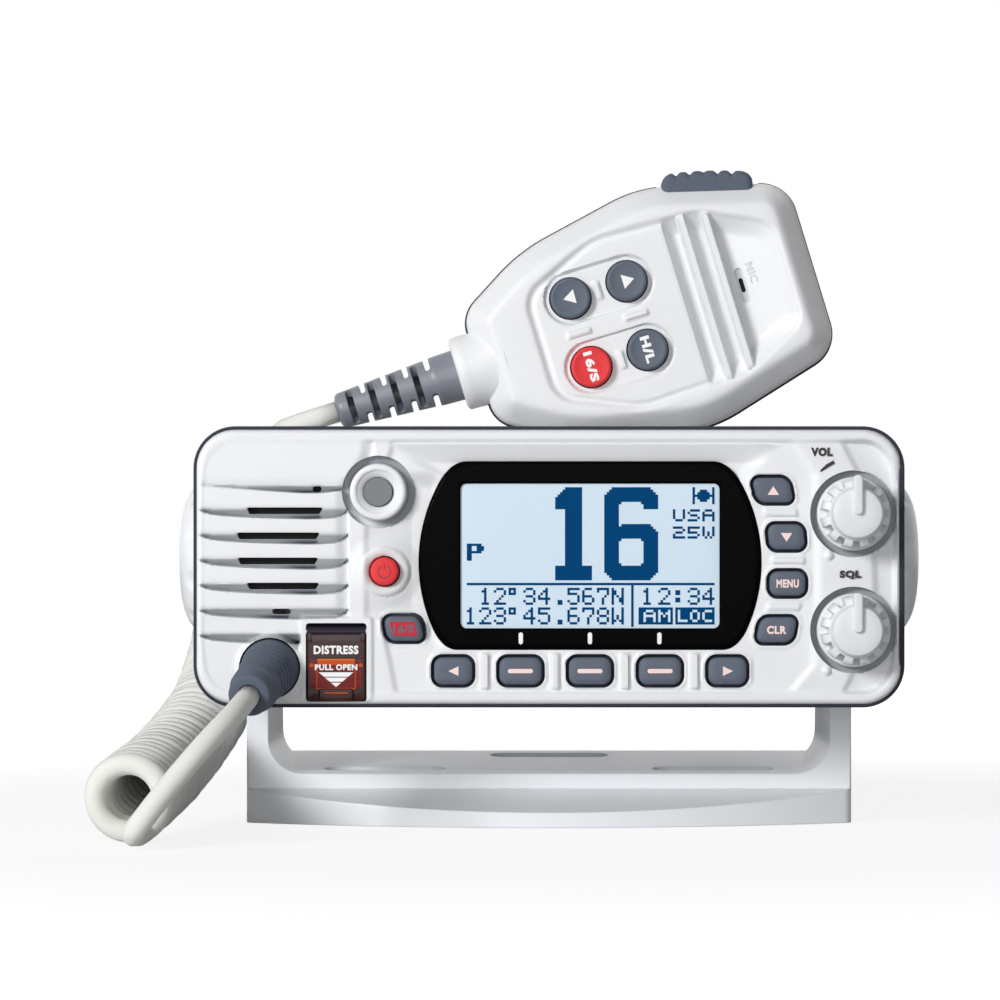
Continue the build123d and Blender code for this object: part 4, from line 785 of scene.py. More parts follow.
# ---------------------------------------------------------------- control panel
@dataclass
class ControlPanel:
    """The white face moulding: grille, boss, lips, wells and frames in one relief."""

    width: float = 156.0
    height: float = 61.7
    corner: float = 9.2
    rim_step: float = 0.8
    middle_z: float = 58.6
    front_y: float = -58.0
    back_y: float = -41.5
    edge_round: float = 1.3
    cell: float = 0.345
    valley: float = -0.9
    block: float = -0.12
    strip: float = -0.3
    trough_top: float = 17.8
    trough_pitch: float = 5.5
    trough_count: int = 7
    trough_depth: float = 2.6
    slots: tuple[tuple[float, float, float], ...] = ((-51.9, -49.8, 17.05), (-66.3, -49.5, 12.3),
                                                     (-68.5, -50.2, 6.8), (-68.3, -50.5, 1.3),
                                                     (-66.3, -50.3, -4.2), (-60.7, -56.5, -9.75))
    slot_height: float = 1.45
    sensor: Point2 = (-37.4, 16.4)
    power: Point2 = (-36.0, -1.0)
    lens_x: float = 8.97
    keys: tuple[KeyPlace, ...] = (
        ("left_key", -21.0, -22.8, 8.3, 5.9, 0.0), ("soft_key_1", -6.26, -22.8, 9.2, 5.9, 0.0),
        ("soft_key_2", 8.97, -22.8, 9.2, 5.9, 0.0), ("soft_key_3", 24.3, -22.8, 9.2, 5.9, 0.0),
        ("right_key", 39.05, -22.8, 8.3, 5.9, 0.0), ("up_key", 49.0, 16.8, 8.0, 5.4, 1.3),
        ("down_key", 51.95, 6.55, 7.8, 5.5, 0.5), ("menu_key", 52.2, -3.65, 7.8, 5.3, 0.0),
        ("clear_key", 49.8, -13.8, 8.0, 5.5, -1.2), ("channel_16_key", -31.8, -13.55, 8.0, 5.3, 1.0))
    key_gap: float = 0.75
    key_corner: float = 1.8
    wells: tuple[Point2, ...] = ((66.7, 11.6), (66.7, -13.85))
    well_radius: float = 9.5
    well_depth: float = 2.9
    sensor_groove: float = 7.95
    sensor_depth: float = 2.7
    lens_depth: float = 3.2
    key_depth: float = 3.4
    slot_depth: float = 3.45
    boot_depth: float = 3.0
    distress_depth: float = 5.4
    power_hole: float = 3.42
    power_ring: float = 5.6
    boot_ring: float = 7.7
    bumps: tuple[Point2, ...] = ((61.3, 2.4), (60.8, -22.8))
    boot: Point2 = (-61.1, -22.2)
    boot_radius: float = 6.35
    distress: Point2 = (-46.55, -20.9)
    distress_size: Point2 = (13.3, 17.2)
    upright_ridges: tuple[float, ...] = (-14.1, 1.3, 16.6, 31.8)
    level_ridges: tuple[tuple[float, float], ...] = ((50.7, 11.8), (52.4, 1.4), (51.4, -8.8))

    def outline(self) -> Field2D:
        """The moulding's edge, inside the dark seal."""
        return rounded_box(0, 0, self.width - 2 * self.rim_step, self.height - 2 * self.rim_step,
                           self.corner - self.rim_step)

    def lens_outline(self, grow: float = 0.0) -> Field2D:
        """The display lens: straight top and bottom, bulged sides."""
        return polygon(self.lens_points(grow))

    def lens_points(self, grow: float = 0.0, steps: int = 30) -> list[Point2]:
        """Points round the lens, its corners rounded.

        Args:
            grow: How much larger than the lens.
            steps: Points on each bulged side.

        Returns:
            The outline's points, in order.
        """
        top, bottom, widest = 23.05 + grow, -18.1 - grow, 2.2
        half_top, half_bottom, half = 29.9 + grow, 31.9 + grow, 37.5 + grow
        ax, az, bx, bz, cx, cz = half_top, top, half, widest, half_bottom, bottom
        d = 2 * (ax * (bz - cz) + bx * (cz - az) + cx * (az - bz))
        aa, bb, cc = ax ** 2 + az ** 2, bx ** 2 + bz ** 2, cx ** 2 + cz ** 2
        ux = (aa * (bz - cz) + bb * (cz - az) + cc * (az - bz)) / d
        uz = (aa * (cx - bx) + bb * (ax - cx) + cc * (bx - ax)) / d
        radius = math.hypot(ax - ux, az - uz)
        a0, a1 = math.atan2(cz - uz, cx - ux), math.atan2(az - uz, ax - ux)
        turns = [a0 + (a1 - a0) * k / steps for k in range(steps + 1)]
        side = [(ux + radius * math.cos(a), uz + radius * math.sin(a)) for a in turns]
        right = side[3:-3]
        low_corner, high_corner = side[0], side[-1]

        def eased(start: Point2, corner: Point2, end: Point2) -> list[Point2]:
            """Points of a curve that rounds off a corner."""
            return [((1 - t) ** 2 * start[0] + 2 * t * (1 - t) * corner[0] + t * t * end[0],
                     (1 - t) ** 2 * start[1] + 2 * t * (1 - t) * corner[1] + t * t * end[1])
                    for t in np.linspace(0, 1, 9)]

        half_outline = (eased((low_corner[0] - 3.0, bottom), low_corner, right[0])[:-1] + right
                        + eased(right[-1], high_corner, (high_corner[0] - 3.0, top))[1:])
        points = [(self.lens_x + x, z) for x, z in half_outline]
        points += [(self.lens_x - x, z) for x, z in reversed(half_outline)]
        return points

    def distress_frame(self) -> Field2D:
        """Outline of the raised frame round the distress opening."""
        (x, z), (width, tall) = self.distress, self.distress_size
        return rounded_box(x, z + 0.75, width + 3.0, tall + 1.5, 1.1)

    def key_outline(self, key: KeyPlace, grow: float) -> Field2D:
        """A key's outline, larger by grow."""
        _, x, z, width, height, lean = key
        return rounded_box(x, z, width + 2 * grow, height + 2 * grow, self.key_corner + grow, lean)

    def _trough_top(self, i: int, x: Array) -> Array:
        """Crease from which a trough's underside falls away."""
        if i == 0:
            return np.interp(x, [-76.8, -52.0], [18.02, 17.72])
        return np.full_like(x, self.trough_top - i * self.trough_pitch + 0.42)

    def _trough_foot(self, i: int, x: Array) -> Array:
        """Lower edge of a trough: it sweeps up to a point at the left and is rounded off at the right."""
        if i == 0:
            return np.interp(x, [-76.8, -70.0, -60.0, -54.0, -50.0, -43.9],
                             [17.95, 17.5, 16.75, 16.4, 16.4, 17.1])
        at = [-76.8, -76.2, -75.2, -73.7, -71.8, -67.9, -62.3, -53.0, -50.0, -47.2, -45.6, -44.7, -44.05]
        reach = [-0.40, -0.1, 0.25, 0.64, 0.85, 1.13, 1.37, 1.6, 1.57, 1.4, 1.05, 0.5, -0.2]
        if i == self.trough_count - 1:
            at, reach = at[:8] + [-50.0], reach[:8] + [1.6]
        return self.trough_top - i * self.trough_pitch - np.interp(x, at, reach)

    def _trough_share(self, i: int, x: Array, z: Array) -> tuple[Array, Array]:
        """How far down a trough's underside a place lies, and how much of the trough is left there."""
        top, foot = self._trough_top(i, x), self._trough_foot(i, x)
        t = np.clip((top - z) / np.maximum(top - foot, 0.3), 0, 1)
        last = i == self.trough_count - 1
        right = -54.4 if last else -43.9
        there = (1 - np.clip((foot - z) / (0.98 * self.cell), 0, 1)) * (1 - ramp(x, right - 0.35, right))
        return t, there

    def _troughs(self, x: Array, z: Array) -> Array:
        """Depth of the long grille troughs, each falling in under its rib up to the next one's edge."""
        depth = np.zeros_like(x)
        for i in range(self.trough_count):
            t, there = self._trough_share(i, x, z)
            first, last = i == 0, i == self.trough_count - 1
            share = 0.25 + 0.75 * ramp(x, -76.9, -54.0) if first else np.clip((x + 76.9) / 5.9, 0, 1) ** 0.5
            reach, drop = (2.0, 0.35) if first else (1.0, 0.22)
            roll = drop * np.clip((self._trough_top(i, x) + reach - z) / reach, 0, 1) ** 2
            deep = self.trough_depth * (1 + (0.3 * ramp(x, -68.0, -57.0) if last else 0.0))
            depth = np.maximum(depth, (roll + deep * share * t ** 0.85) * there)
        return depth

    def painted_shade(self, x: Array, z: Array, height: Array) -> Array:
        """Painted shade of each point of the face, 0 to 1: darkest in the grille troughs beside the slots, in
        the pocket by the cord boot, in the sensor groove and on the well floors.

        Args:
            x: Places across.
            z: Places up.
            height: Heights over the front plane.

        Returns:
            The painted shade marks for the finish.
        """
        mark = np.zeros_like(x)
        # painted shade down each grille trough, darker towards its foot and next to its slot
        for i in range(self.trough_count):
            t, there = self._trough_share(i, x, z)
            inside = (t > 0) & (z > self._trough_foot(i, x) - 0.1) & (x > -76.9)
            tone = 0.30 + 0.22 * t
            if i < self.trough_count - 1:
                right = self.slots[i][1] - 0.9
                near_slot = ramp(x, right - 10.0, right - 1.0) * (1 - ramp(x, right, right + 0.5))
                tone = tone + 0.55 * near_slot * ramp(t, 0.55, 0.9)
            else:
                tone = tone + 0.3 * ramp(x, -70.0, -57.0)
            if i == 0:
                tone = tone * ramp(x, -76.9, -60.0)
            mark = np.maximum(mark, np.where(inside, tone * there, 0))
        # painted shade in the pocket beside the cord boot
        pocket = ramp(x, -66.0, -60.0) * (1 - ramp(x, -54.9, -54.7))
        pocket = pocket * (1 - ramp(z, -17.0, -16.2)) * ramp(z, -19.4, -18.8)
        r = circle(*self.boot, 0.0)(x, z)
        mark = np.maximum(mark, 0.55 * pocket * (r > 7.8))
        # painted shade on the floors of the sensor groove and the two wells
        for cx, cz, reach in [(*self.sensor, self.sensor_groove),
                              *((*well, self.well_radius) for well in self.wells)]:
            r = circle(cx, cz, 0.0)(x, z)
            mark = np.where((r < reach + 0.15) & (height < -1.9), 0.62, mark)
        return mark

    def heights(self, x: Array, z: Array) -> Array:
        """Height of the face over its front plane.

        Args:
            x: Places across.
            z: Places up.

        Returns:
            Heights, positive out of the face.
        """
        inside = -self.outline()(x, z)
        slanted = x - 5.6 * ramp(z, 15.5, 26.5)
        base = self.block + (self.strip - self.block) * ramp(slanted, -44.0, -43.6)
        base = base - 0.95 * ramp(slanted, -47.0, -44.0) * (1 - ramp(slanted, -44.0, -43.6))
        base = base + (self.valley - self.strip) * ramp(slanted, -40.8, -39.2)
        # valley dips towards the lens
        beside = ramp(z, -19.0, -13.5) * (1 - ramp(z, 17.0, 21.5)) * (1 - ramp(x, -26.0, -22.0))
        base = base - 1.9 * np.clip((x + 39.6) / 9.5, 0, 1) * beside
        # ground left of the keys rises to the distress frame along a slanted crease
        crease = (x + 37.3) * 0.98 - (z + 10.5) * -0.2
        low_left = ramp(-z, 10.0, 12.0) * (1 - ramp(crease, -0.4, 1.2))
        base = base * (1 - low_left) + (-0.25) * low_left
        # island under the two rotary knobs, falling away to the right of its crest
        left_line = np.interp(z, [-29.3, -21.5, -9.0, 7.5, 20.3, 27.6], [51.0, 57.6, 58.6, 58.6, 57.9, 53.0])
        crest = np.interp(z, [-29.8, -21.5, -6.2, 4.1, 20.9, 28.7], [62.6, 66.5, 70.7, 70.2, 66.7, 62.6])
        island = ramp(x - left_line, -1.0, 1.5)
        base = base + island * (0.62 - 0.055 * np.clip(x - left_line, 0, 14))
        past = x - crest
        base = base - ramp(past, 0.0, 1.9) * 0.85 - np.clip(past - 1.5, 0, 12) * 0.16
        base = base - self._troughs(x, z)
        # band over the lens, tipped forward
        over = ramp(x + 33.5 - (25.6 - z) * 1.6, -1.0, 3.2) * ramp(49.9 - (25.9 - z) - x, -1.0, 4.0)
        tipped = -0.1 - 2.0 * np.clip((26.9 - z) / 4.0, 0, 1)
        reach = over * ramp(z, 14.5, 22.8)
        base = base * (1 - reach) + np.where(z < 27.0, tipped, base) * reach
        # rim
        rim_in = 0.9 + 1.2 * ramp(np.abs(z), 15.0, 27.0)
        at_rim = 1 - np.clip((inside - rim_in) / 0.9, 0, 1)
        at_rim = at_rim * at_rim * (3 - 2 * at_rim)
        flank = ramp(x, 67.0, 72.0) * (1 - ramp(np.abs(z), 19.0, 25.0))
        h = base * (1 - at_rim * (1 - 0.4 * flank))
        # bosses and rings
        r = circle(*self.power, 0.0)(x, z)
        h = h + 0.5 * (1 - ramp(r, 5.4, 8.6))
        ring = np.clip(1 - ((r - 4.45) / 1.15) ** 2, 0, 1)
        h = h + 0.75 * np.sqrt(ring)
        for key in self.keys:
            d = self.key_outline(key, self.key_gap)(x, z)
            h = h + 0.42 * (1 - ramp(d, 0.1, 0.95)) - 0.25 * (1 - ramp(d, 0.0, 0.22))
        for at in self.upright_ridges:
            d = rounded_box(at, -22.9, 1.9, 7.9, 0.5)(x, z)
            h = h + 0.8 * (1 - ramp(d, -0.3, 0.3))
        for ax, az in self.level_ridges:
            d = rounded_box(ax, az, 7.2, 1.5, 0.4, 0.4 if az > 5 else -0.4 if az < -5 else 0.0)(x, z)
            h = h + 0.7 * (1 - ramp(d, -0.35, 0.35))
        for cx, cz in self.bumps:
            r = circle(cx, cz, 0.0)(x, z)
            h = h + 0.85 * np.sqrt(np.clip(1 - (r / 0.95) ** 2, 0, 1))
        r = circle(*self.boot, 0.0)(x, z)
        pocket = ramp(x, -66.0, -58.0) * (1 - ramp(x, -55.2, -54.7))
        pocket = pocket * ramp(z, -18.6, -18.0) * (1 - ramp(z, -16.9, -15.9))
        h = h - 2.6 * pocket
        collar = 0.55 * (1 - ramp(r, 7.0, 7.7))
        h = np.where(r < 7.7, h * ramp(r, 7.0, 7.7) + collar, h)
        d = self.distress_frame()(x, z)
        frame = 0.28 * (1 - ramp(d, -0.45, 0.1))
        h = np.where(d < 0.1, np.where(d < -0.45, 0.28, h * ramp(d, -0.45, 0.1) + frame), h)
        drop = np.clip(self.edge_round - inside, 0, self.edge_round)
        return h - (self.edge_round - np.sqrt(np.maximum(self.edge_round ** 2 - drop ** 2, 0)))

    def holes(self) -> list[tuple[Field2D, float]]:
        """Openings with the depth of their walls."""
        found: list[tuple[Field2D, float]] = [(self.lens_outline(0.12), -self.lens_depth)]
        found += [(self.key_outline(key, self.key_gap), -self.key_depth) for key in self.keys]
        found.append((circle(*self.power, self.power_hole), -self.key_depth))
        found.append((circle(*self.sensor, self.sensor_groove), -self.sensor_depth))
        found += [(circle(*well, self.well_radius), -self.well_depth) for well in self.wells]
        for left, right, z in self.slots:
            wide = right - left > 5
            half = self.slot_height / 2 if wide else 0.62
            cut = 0.6 if wide else 0.1
            soft = 0.3 if wide else 0.5
            corners = [(left + cut, z - half, soft), (right - 1.5 * cut, z - half, soft),
                       (right, z + half - 0.3 * cut, soft), (right - 0.4 * cut, z + half, 0.2),
                       (left, z + half, soft)]
            if not wide:
                corners = [corners[0], corners[1], (right, z + half, soft), corners[4]]
            found.append((polygon(rounded_corners(corners, 5)), -self.slot_depth))
        found.append((circle(*self.boot, self.boot_radius + 0.36), -self.boot_depth))
        found.append((rounded_box(*self.distress, *self.distress_size, 0.75), -self.distress_depth))
        return found

    def _trough_crease(self, edge: Callable[[int, Array], Array], i: int, left: float, right: float,
                       drop: float, x: Array, z: Array) -> Array:
        """How far places lie over an edge of a trough, and far away beside it."""
        return np.where((x > left) & (x < right), z - edge(i, x) + drop, 9.0)

    def creases(self) -> list[Field2D]:
        """Lines on which steps lie."""
        lines: list[Field2D] = []
        for i in range(self.trough_count):
            for drop in (0.0, self.cell):
                lines.append(partial(self._trough_crease, self._trough_foot, i, -77.0, -43.9, drop))
            lines.append(partial(self._trough_crease, self._trough_top, i, -74.0, -44.3, 0.0))
        return lines + [circle(*self.power, self.power_ring), circle(*self.boot, self.boot_ring),
                        self.distress_frame()]

    def build(self) -> None:
        """Make the face moulding and set it on the radio."""
        half_w, half_h = self.width / 2, self.height / 2
        relief = Relief(self.outline(), (-half_w, -half_h), (half_w, half_h), self.cell, self.heights,
                        self.holes(), self.creases(), self.front_y - self.back_y)
        sheet, faces = relief.build()
        points = np.column_stack([sheet[:, 0], self.front_y - sheet[:, 2], self.middle_z + sheet[:, 1]])
        place_piece("face_moulding", plain_mesh("face_moulding", points, faces, 50.0),
                    WHITE_GRAINED.material(), Body.RADIO, ["front_panel"],
                    self.painted_shade(sheet[:, 0], sheet[:, 1], sheet[:, 2]))
        self._seal()
        self._inserts()

    def _seal(self) -> None:
        """Dark seal that shows as a line round the face."""
        step = self.rim_step
        rings = [box_ring(0, 0, self.width - 2 * step + 2 * grow, self.height - 2 * step + 2 * grow,
                          self.corner - step + grow, level, steps=16)
                 for grow, level in ((-0.4, -3.3), (0.5, -3.2), (0.75, -2.9), (0.8, -2.2), (0.72, -1.6),
                                     (0.5, -1.35), (-0.4, -1.3))]
        raised("face_seal", [lofted(rings, closed_end=False)], PANEL, SEAL, Body.RADIO)

    def _inserts(self) -> None:
        """Sensor boss in its groove, and the floors of the two wells."""
        boss = [(self.sensor_groove + 0.05, -2.6), (7.5, -2.75), (6.7, -2.75), (6.35, -2.5), (6.22, -2.0),
                (6.15, 0.35), (6.05, 0.68), (5.8, 0.86), (5.45, 0.92), (5.05, 0.9), (4.8, 0.78), (4.65, 0.52),
                (4.4, 0.38), (3.55, -0.15), (3.3, -0.4), (3.16, -0.75), (3.14, -3.0)]
        well_floor = [(r, -self.well_depth) for r in (self.well_radius + 0.05, self.well_radius - 0.3, 3.5)]
        parts = [ring_lathe(boss, self.sensor), *(ring_lathe(well_floor, well) for well in self.wells)]
        points, faces = joined(parts)
        dx, dz = points[:, 0] - self.sensor[0], points[:, 1] - self.sensor[1]
        # painted shade on the sensor groove's floor, lighter on the side where light falls (painted light),
        # and painted shade on the well floors
        lit = np.exp(-((np.degrees(np.arctan2(dz, dx)) + 112.0) / 24.0) ** 2)
        groove = np.where(np.hypot(dx, dz) > 6.3, 0.72 - 0.5 * lit, 0.0)
        mark = np.where(points[:, 0] > 0, 0.66, groove)
        place_piece("face_inserts", plain_mesh("face_inserts", PANEL.place(points), faces, 50.0),
                    WHITE_GRAINED.material(), Body.RADIO, painted_shade=mark)
        width, tall = self.distress_size
        x, z = self.distress
        rim = box_ring(x, z, width + 0.2, tall + 0.2, 0.3, -5.3)
        angles = np.arctan2(rim[:, 1] - (z - 1.0), rim[:, 0] - x)
        eye = np.column_stack([x + 4.75 * np.cos(angles), z - 1.0 + 4.75 * np.sin(angles),
                               np.full(len(rim), -5.3)])
        raised("distress_tub_floor", [lofted([rim, eye], closed_end=False)], PANEL, SEAL, Body.RADIO)


# ---------------------------------------------------------------- shared shapes
@dataclass(frozen=True)
class Plane:
    """A flat place in the radio's frame, in millimetres: across, up and out of it."""

    origin: Point3
    across: Point3 = (1.0, 0.0, 0.0)
    up: Point3 = (0.0, 0.0, 1.0)
    out: Point3 = (0.0, -1.0, 0.0)

    def place(self, points: Array) -> Array:
        """Points given as (across, up, out) in the radio's frame."""
        axes = np.array([self.across, self.up, self.out], float)
        return np.asarray(points, float) @ axes + np.array(self.origin, float)


MIC_TILT = math.radians(17.0)
PANEL = Plane((0.0, -58.0, 58.6))
MIC = Plane((22.8, -29.0, 115.3), (math.cos(MIC_TILT), 0.0, math.sin(MIC_TILT)),
            (-math.sin(MIC_TILT), 0.0, math.cos(MIC_TILT)))
MIC_BACK = Plane(MIC.origin, tuple(-v for v in MIC.across), MIC.up, (0.0, 1.0, 0.0))
BACK = Plane((0.0, 44.0, 59.5), (-1.0, 0.0, 0.0), (0.0, 0.0, 1.0), (0.0, 1.0, 0.0))


def lofted(rings: Sequence[Array], closed_start: bool = False, closed_end: bool = True) -> Shape:
    """A skin over rings of equal count, each turning left seen from the last one.

    Args:
        rings: The rings, each n by 3.
        closed_start: Whether the first ring is closed.
        closed_end: Whether the last ring is closed.

    Returns:
        Points and faces.
    """
    count = len(rings[0])
    points = np.vstack(rings)
    faces: list[tuple[int, ...]] = []
    for k in range(len(rings) - 1):
        a, b = k * count, (k + 1) * count
        faces += [(a + i, a + (i + 1) % count, b + (i + 1) % count, b + i) for i in range(count)]
    if closed_end:
        centre = len(points)
        points = np.vstack([points, rings[-1].mean(axis=0)])
        last = (len(rings) - 1) * count
        faces += [(last + i, last + (i + 1) % count, centre) for i in range(count)]
    if closed_start:
        centre = len(points)
        points = np.vstack([points, rings[0].mean(axis=0)])
        faces += [((i + 1) % count, i, centre) for i in range(count)]
    return points, faces


def box_ring(cx: float, cz: float, width: float, height: float, radius: float, level: float,
             lean: float = 0.0, steps: int = 8) -> Array:
    """Points (across, up, out) round a rounded rectangle at one level."""
    radius = max(min(radius, width / 2 - 0.01, height / 2 - 0.01), 0.01)
    points: list[Point3] = []
    for sx, sz, start in ((1, -1, -90), (1, 1, 0), (-1, 1, 90), (-1, -1, 180)):
        for k in range(steps + 1):
            a = math.radians(start + 90 * k / steps)
            x = sx * (width / 2 - radius) + radius * math.cos(a)
            z = sz * (height / 2 - radius) + radius * math.sin(a)
            points.append((cx + x - lean * z / height, cz + z, level))
    return np.array(points)


def pill_block(cx: float, cz: float, width: float, height: float, radius: float, low: float, high: float,
               edge: float, lean: float = 0.0, crown: float = 0.0) -> Shape:
    """A rounded block standing out of a plane, its front edge rounded and its face crowned.

    Args:
        cx: Middle, across.
        cz: Middle, up.
        width: Width at its foot.
        height: Height at its foot.
        radius: Corner radius.
        low: Level of its foot.
        high: Level of its face's edge.
        edge: Radius of the front edge.
        lean: Shift of the upper edge to the left.
        crown: How much the middle stands over the edge.

    Returns:
        Points as (across, up, out), and faces.
    """
    rings = [box_ring(cx, cz, width, height, radius, low, lean)]
    for k in range(6):
        a = math.radians(90 * k / 5)
        inset = edge * (1 - math.cos(a))
        rings.append(box_ring(cx, cz, width - 2 * inset, height - 2 * inset, radius - inset,
                              high - edge + edge * math.sin(a), lean))
    for share in (0.8, 0.55, 0.3):
        rings.append(box_ring(cx, cz, (width - 2 * edge) * share, (height - 2 * edge) * share,
                              max(radius - edge, 0.1) * share, high + crown * (1 - share ** 2), lean))
    return lofted(rings)


def outline_slab(points: Sequence[Point2], low: float, high: float) -> Shape:
    """A flat slab over any simple outline that turns left."""
    count = len(points)
    ring = np.array([(x, z, low) for x, z in points] + [(x, z, high) for x, z in points])
    faces: list[tuple[int, ...]] = [tuple(range(count, 2 * count))]
    faces += [(i, (i + 1) % count, count + (i + 1) % count, count + i) for i in range(count)]
    return ring, faces


def moved(shape: Shape, across: float, up: float, out: float = 0.0) -> Shape:
    """A shape shifted on its plane."""
    return shape[0] + np.array([across, up, out]), shape[1]


def ring_lathe(profile: Sequence[Point2], centre: Point2, count: int = 96) -> Shape:
    """An open turned surface from its outer edge inwards, facing out of the plane."""
    return moved(turned(profile, count), *centre)


def ring_web(centre: Point2, rings: Sequence[Point2]) -> Shape:
    """A thin web over circles given as (radius, level), open at both ends."""
    t = np.arange(WEB_SIDES) * 2 * math.pi / WEB_SIDES
    return lofted([np.column_stack([centre[0] + r * np.cos(t), centre[1] + r * np.sin(t),
                                    np.full(WEB_SIDES, level)])
                   for r, level in rings], closed_end=False)


def lettering(text: str, height: float, centre: Point2, low: float, high: float, turn: float = 0.0,
              width: float | None = None, weight: float = 0.0) -> Shape:
    """Raised lettering on a plane.

    Args:
        text: The characters.
        height: Height of the capitals.
        centre: Middle of the word, (across, up).
        low: Level of its foot.
        high: Level of its face.
        turn: Turn to the left, in degrees.
        width: Width to fit, or None for the font's own.
        weight: How much the strokes are thickened.

    Returns:
        Points as (across, up, out), and faces.
    """
    curve = bpy.data.curves.new("letters", "FONT")
    curve.body = text
    curve.extrude = 0.5
    curve.offset = weight
    curve.space_character = 1.0 + 2.4 * weight
    curve.resolution_u = 3
    holder = in_scene("letters", curve)
    bpy.context.view_layer.update()
    points, faces = read_back(holder)
    lowest, highest = points.min(axis=0), points.max(axis=0)
    scale = height / (highest[1] - lowest[1])
    across = width / (highest[0] - lowest[0]) if width else scale
    x = (points[:, 0] - (lowest[0] + highest[0]) / 2) * across
    z = (points[:, 1] - (lowest[1] + highest[1]) / 2) * scale
    a = math.radians(turn)
    out = np.where(points[:, 2] > 0, high, low)
    return np.column_stack([centre[0] + x * math.cos(a) - z * math.sin(a),
                            centre[1] + x * math.sin(a) + z * math.cos(a), out]), faces


def raised(name: str, parts: Sequence[Shape], plane: Plane, finish: Finish, body: Body | str,
           stands_for: Sequence[str] = (), smooth: float = SMOOTH_ANGLE) -> bpy.types.Object:
    """Place shapes given on a plane as one piece."""
    points, faces = joined(parts)
    return place_piece(name, plain_mesh(name, plane.place(points), faces, smooth), finish.material(), body,
                       stands_for)


# ---------------------------------------------------------------- display
SMALL_GLYPHS: dict[str, str] = {
    "0": ".###. #...# #..## #.#.# ##..# #...# .###.", "1": ".#... ##... .#... .#... .#... .#... ###..",
    "2": ".###. #...# ....# ...#. ..#.. .#... #####", "3": ".###. #...# ....# .###. ....# #...# .###.",
    "4": "...#. ..##. .#.#. #..#. ##### ...#. ...#.", "5": "##### #.... ####. ....# ....# #...# .###.",
    "6": ".###. #.... #.... ####. #...# #...# .###.", "7": "##### #...# ....# ...#. ..#.. ..#.. ..#..",
    "8": ".###. #...# #...# .###. #...# #...# .###.", "9": ".###. #...# #...# .#### ....# #...# .###.",
    ".": "..... ..... ..... ..... ..... .##.. .##..", ":": "..... .##.. .##.. ..... .##.. .##.. .....",
    "'": "###.. #.#.. ###.. ..... ..... ..... .....", "N": "#...# ##..# ##..# #.#.# #..## #..## #...#",
    "W": "#...# #...# #...# #.#.# #.#.# ##.## #...#",
    "P": "###### ##..### ##..### ###### ##.... ##.... ##....",
    "*": "#.......# #..###..# #.#####.# ######### #.#####.# #..###..# #.......#"}
TINY_GLYPHS: dict[str, str] = {
    "U": "#...# #...# #...# #...# .###.", "S": ".#### #.... .###. ....# ####.",
    "A": ".###. #...# ##### #...# #...#", "2": "####. ....# .###. #.... #####",
    "5": "##### #.... ####. ....# ####.", "W": "#...# #...# #.#.# #.#.# .#.#.",
    "M": "#...# ##.## #.#.# #...# #...#", "L": "#.... #.... #.... #.... ####.",
    "O": ".##.. #..#. #..#. #..#. .##..", "C": ".###. #.... #.... #.... .###."}


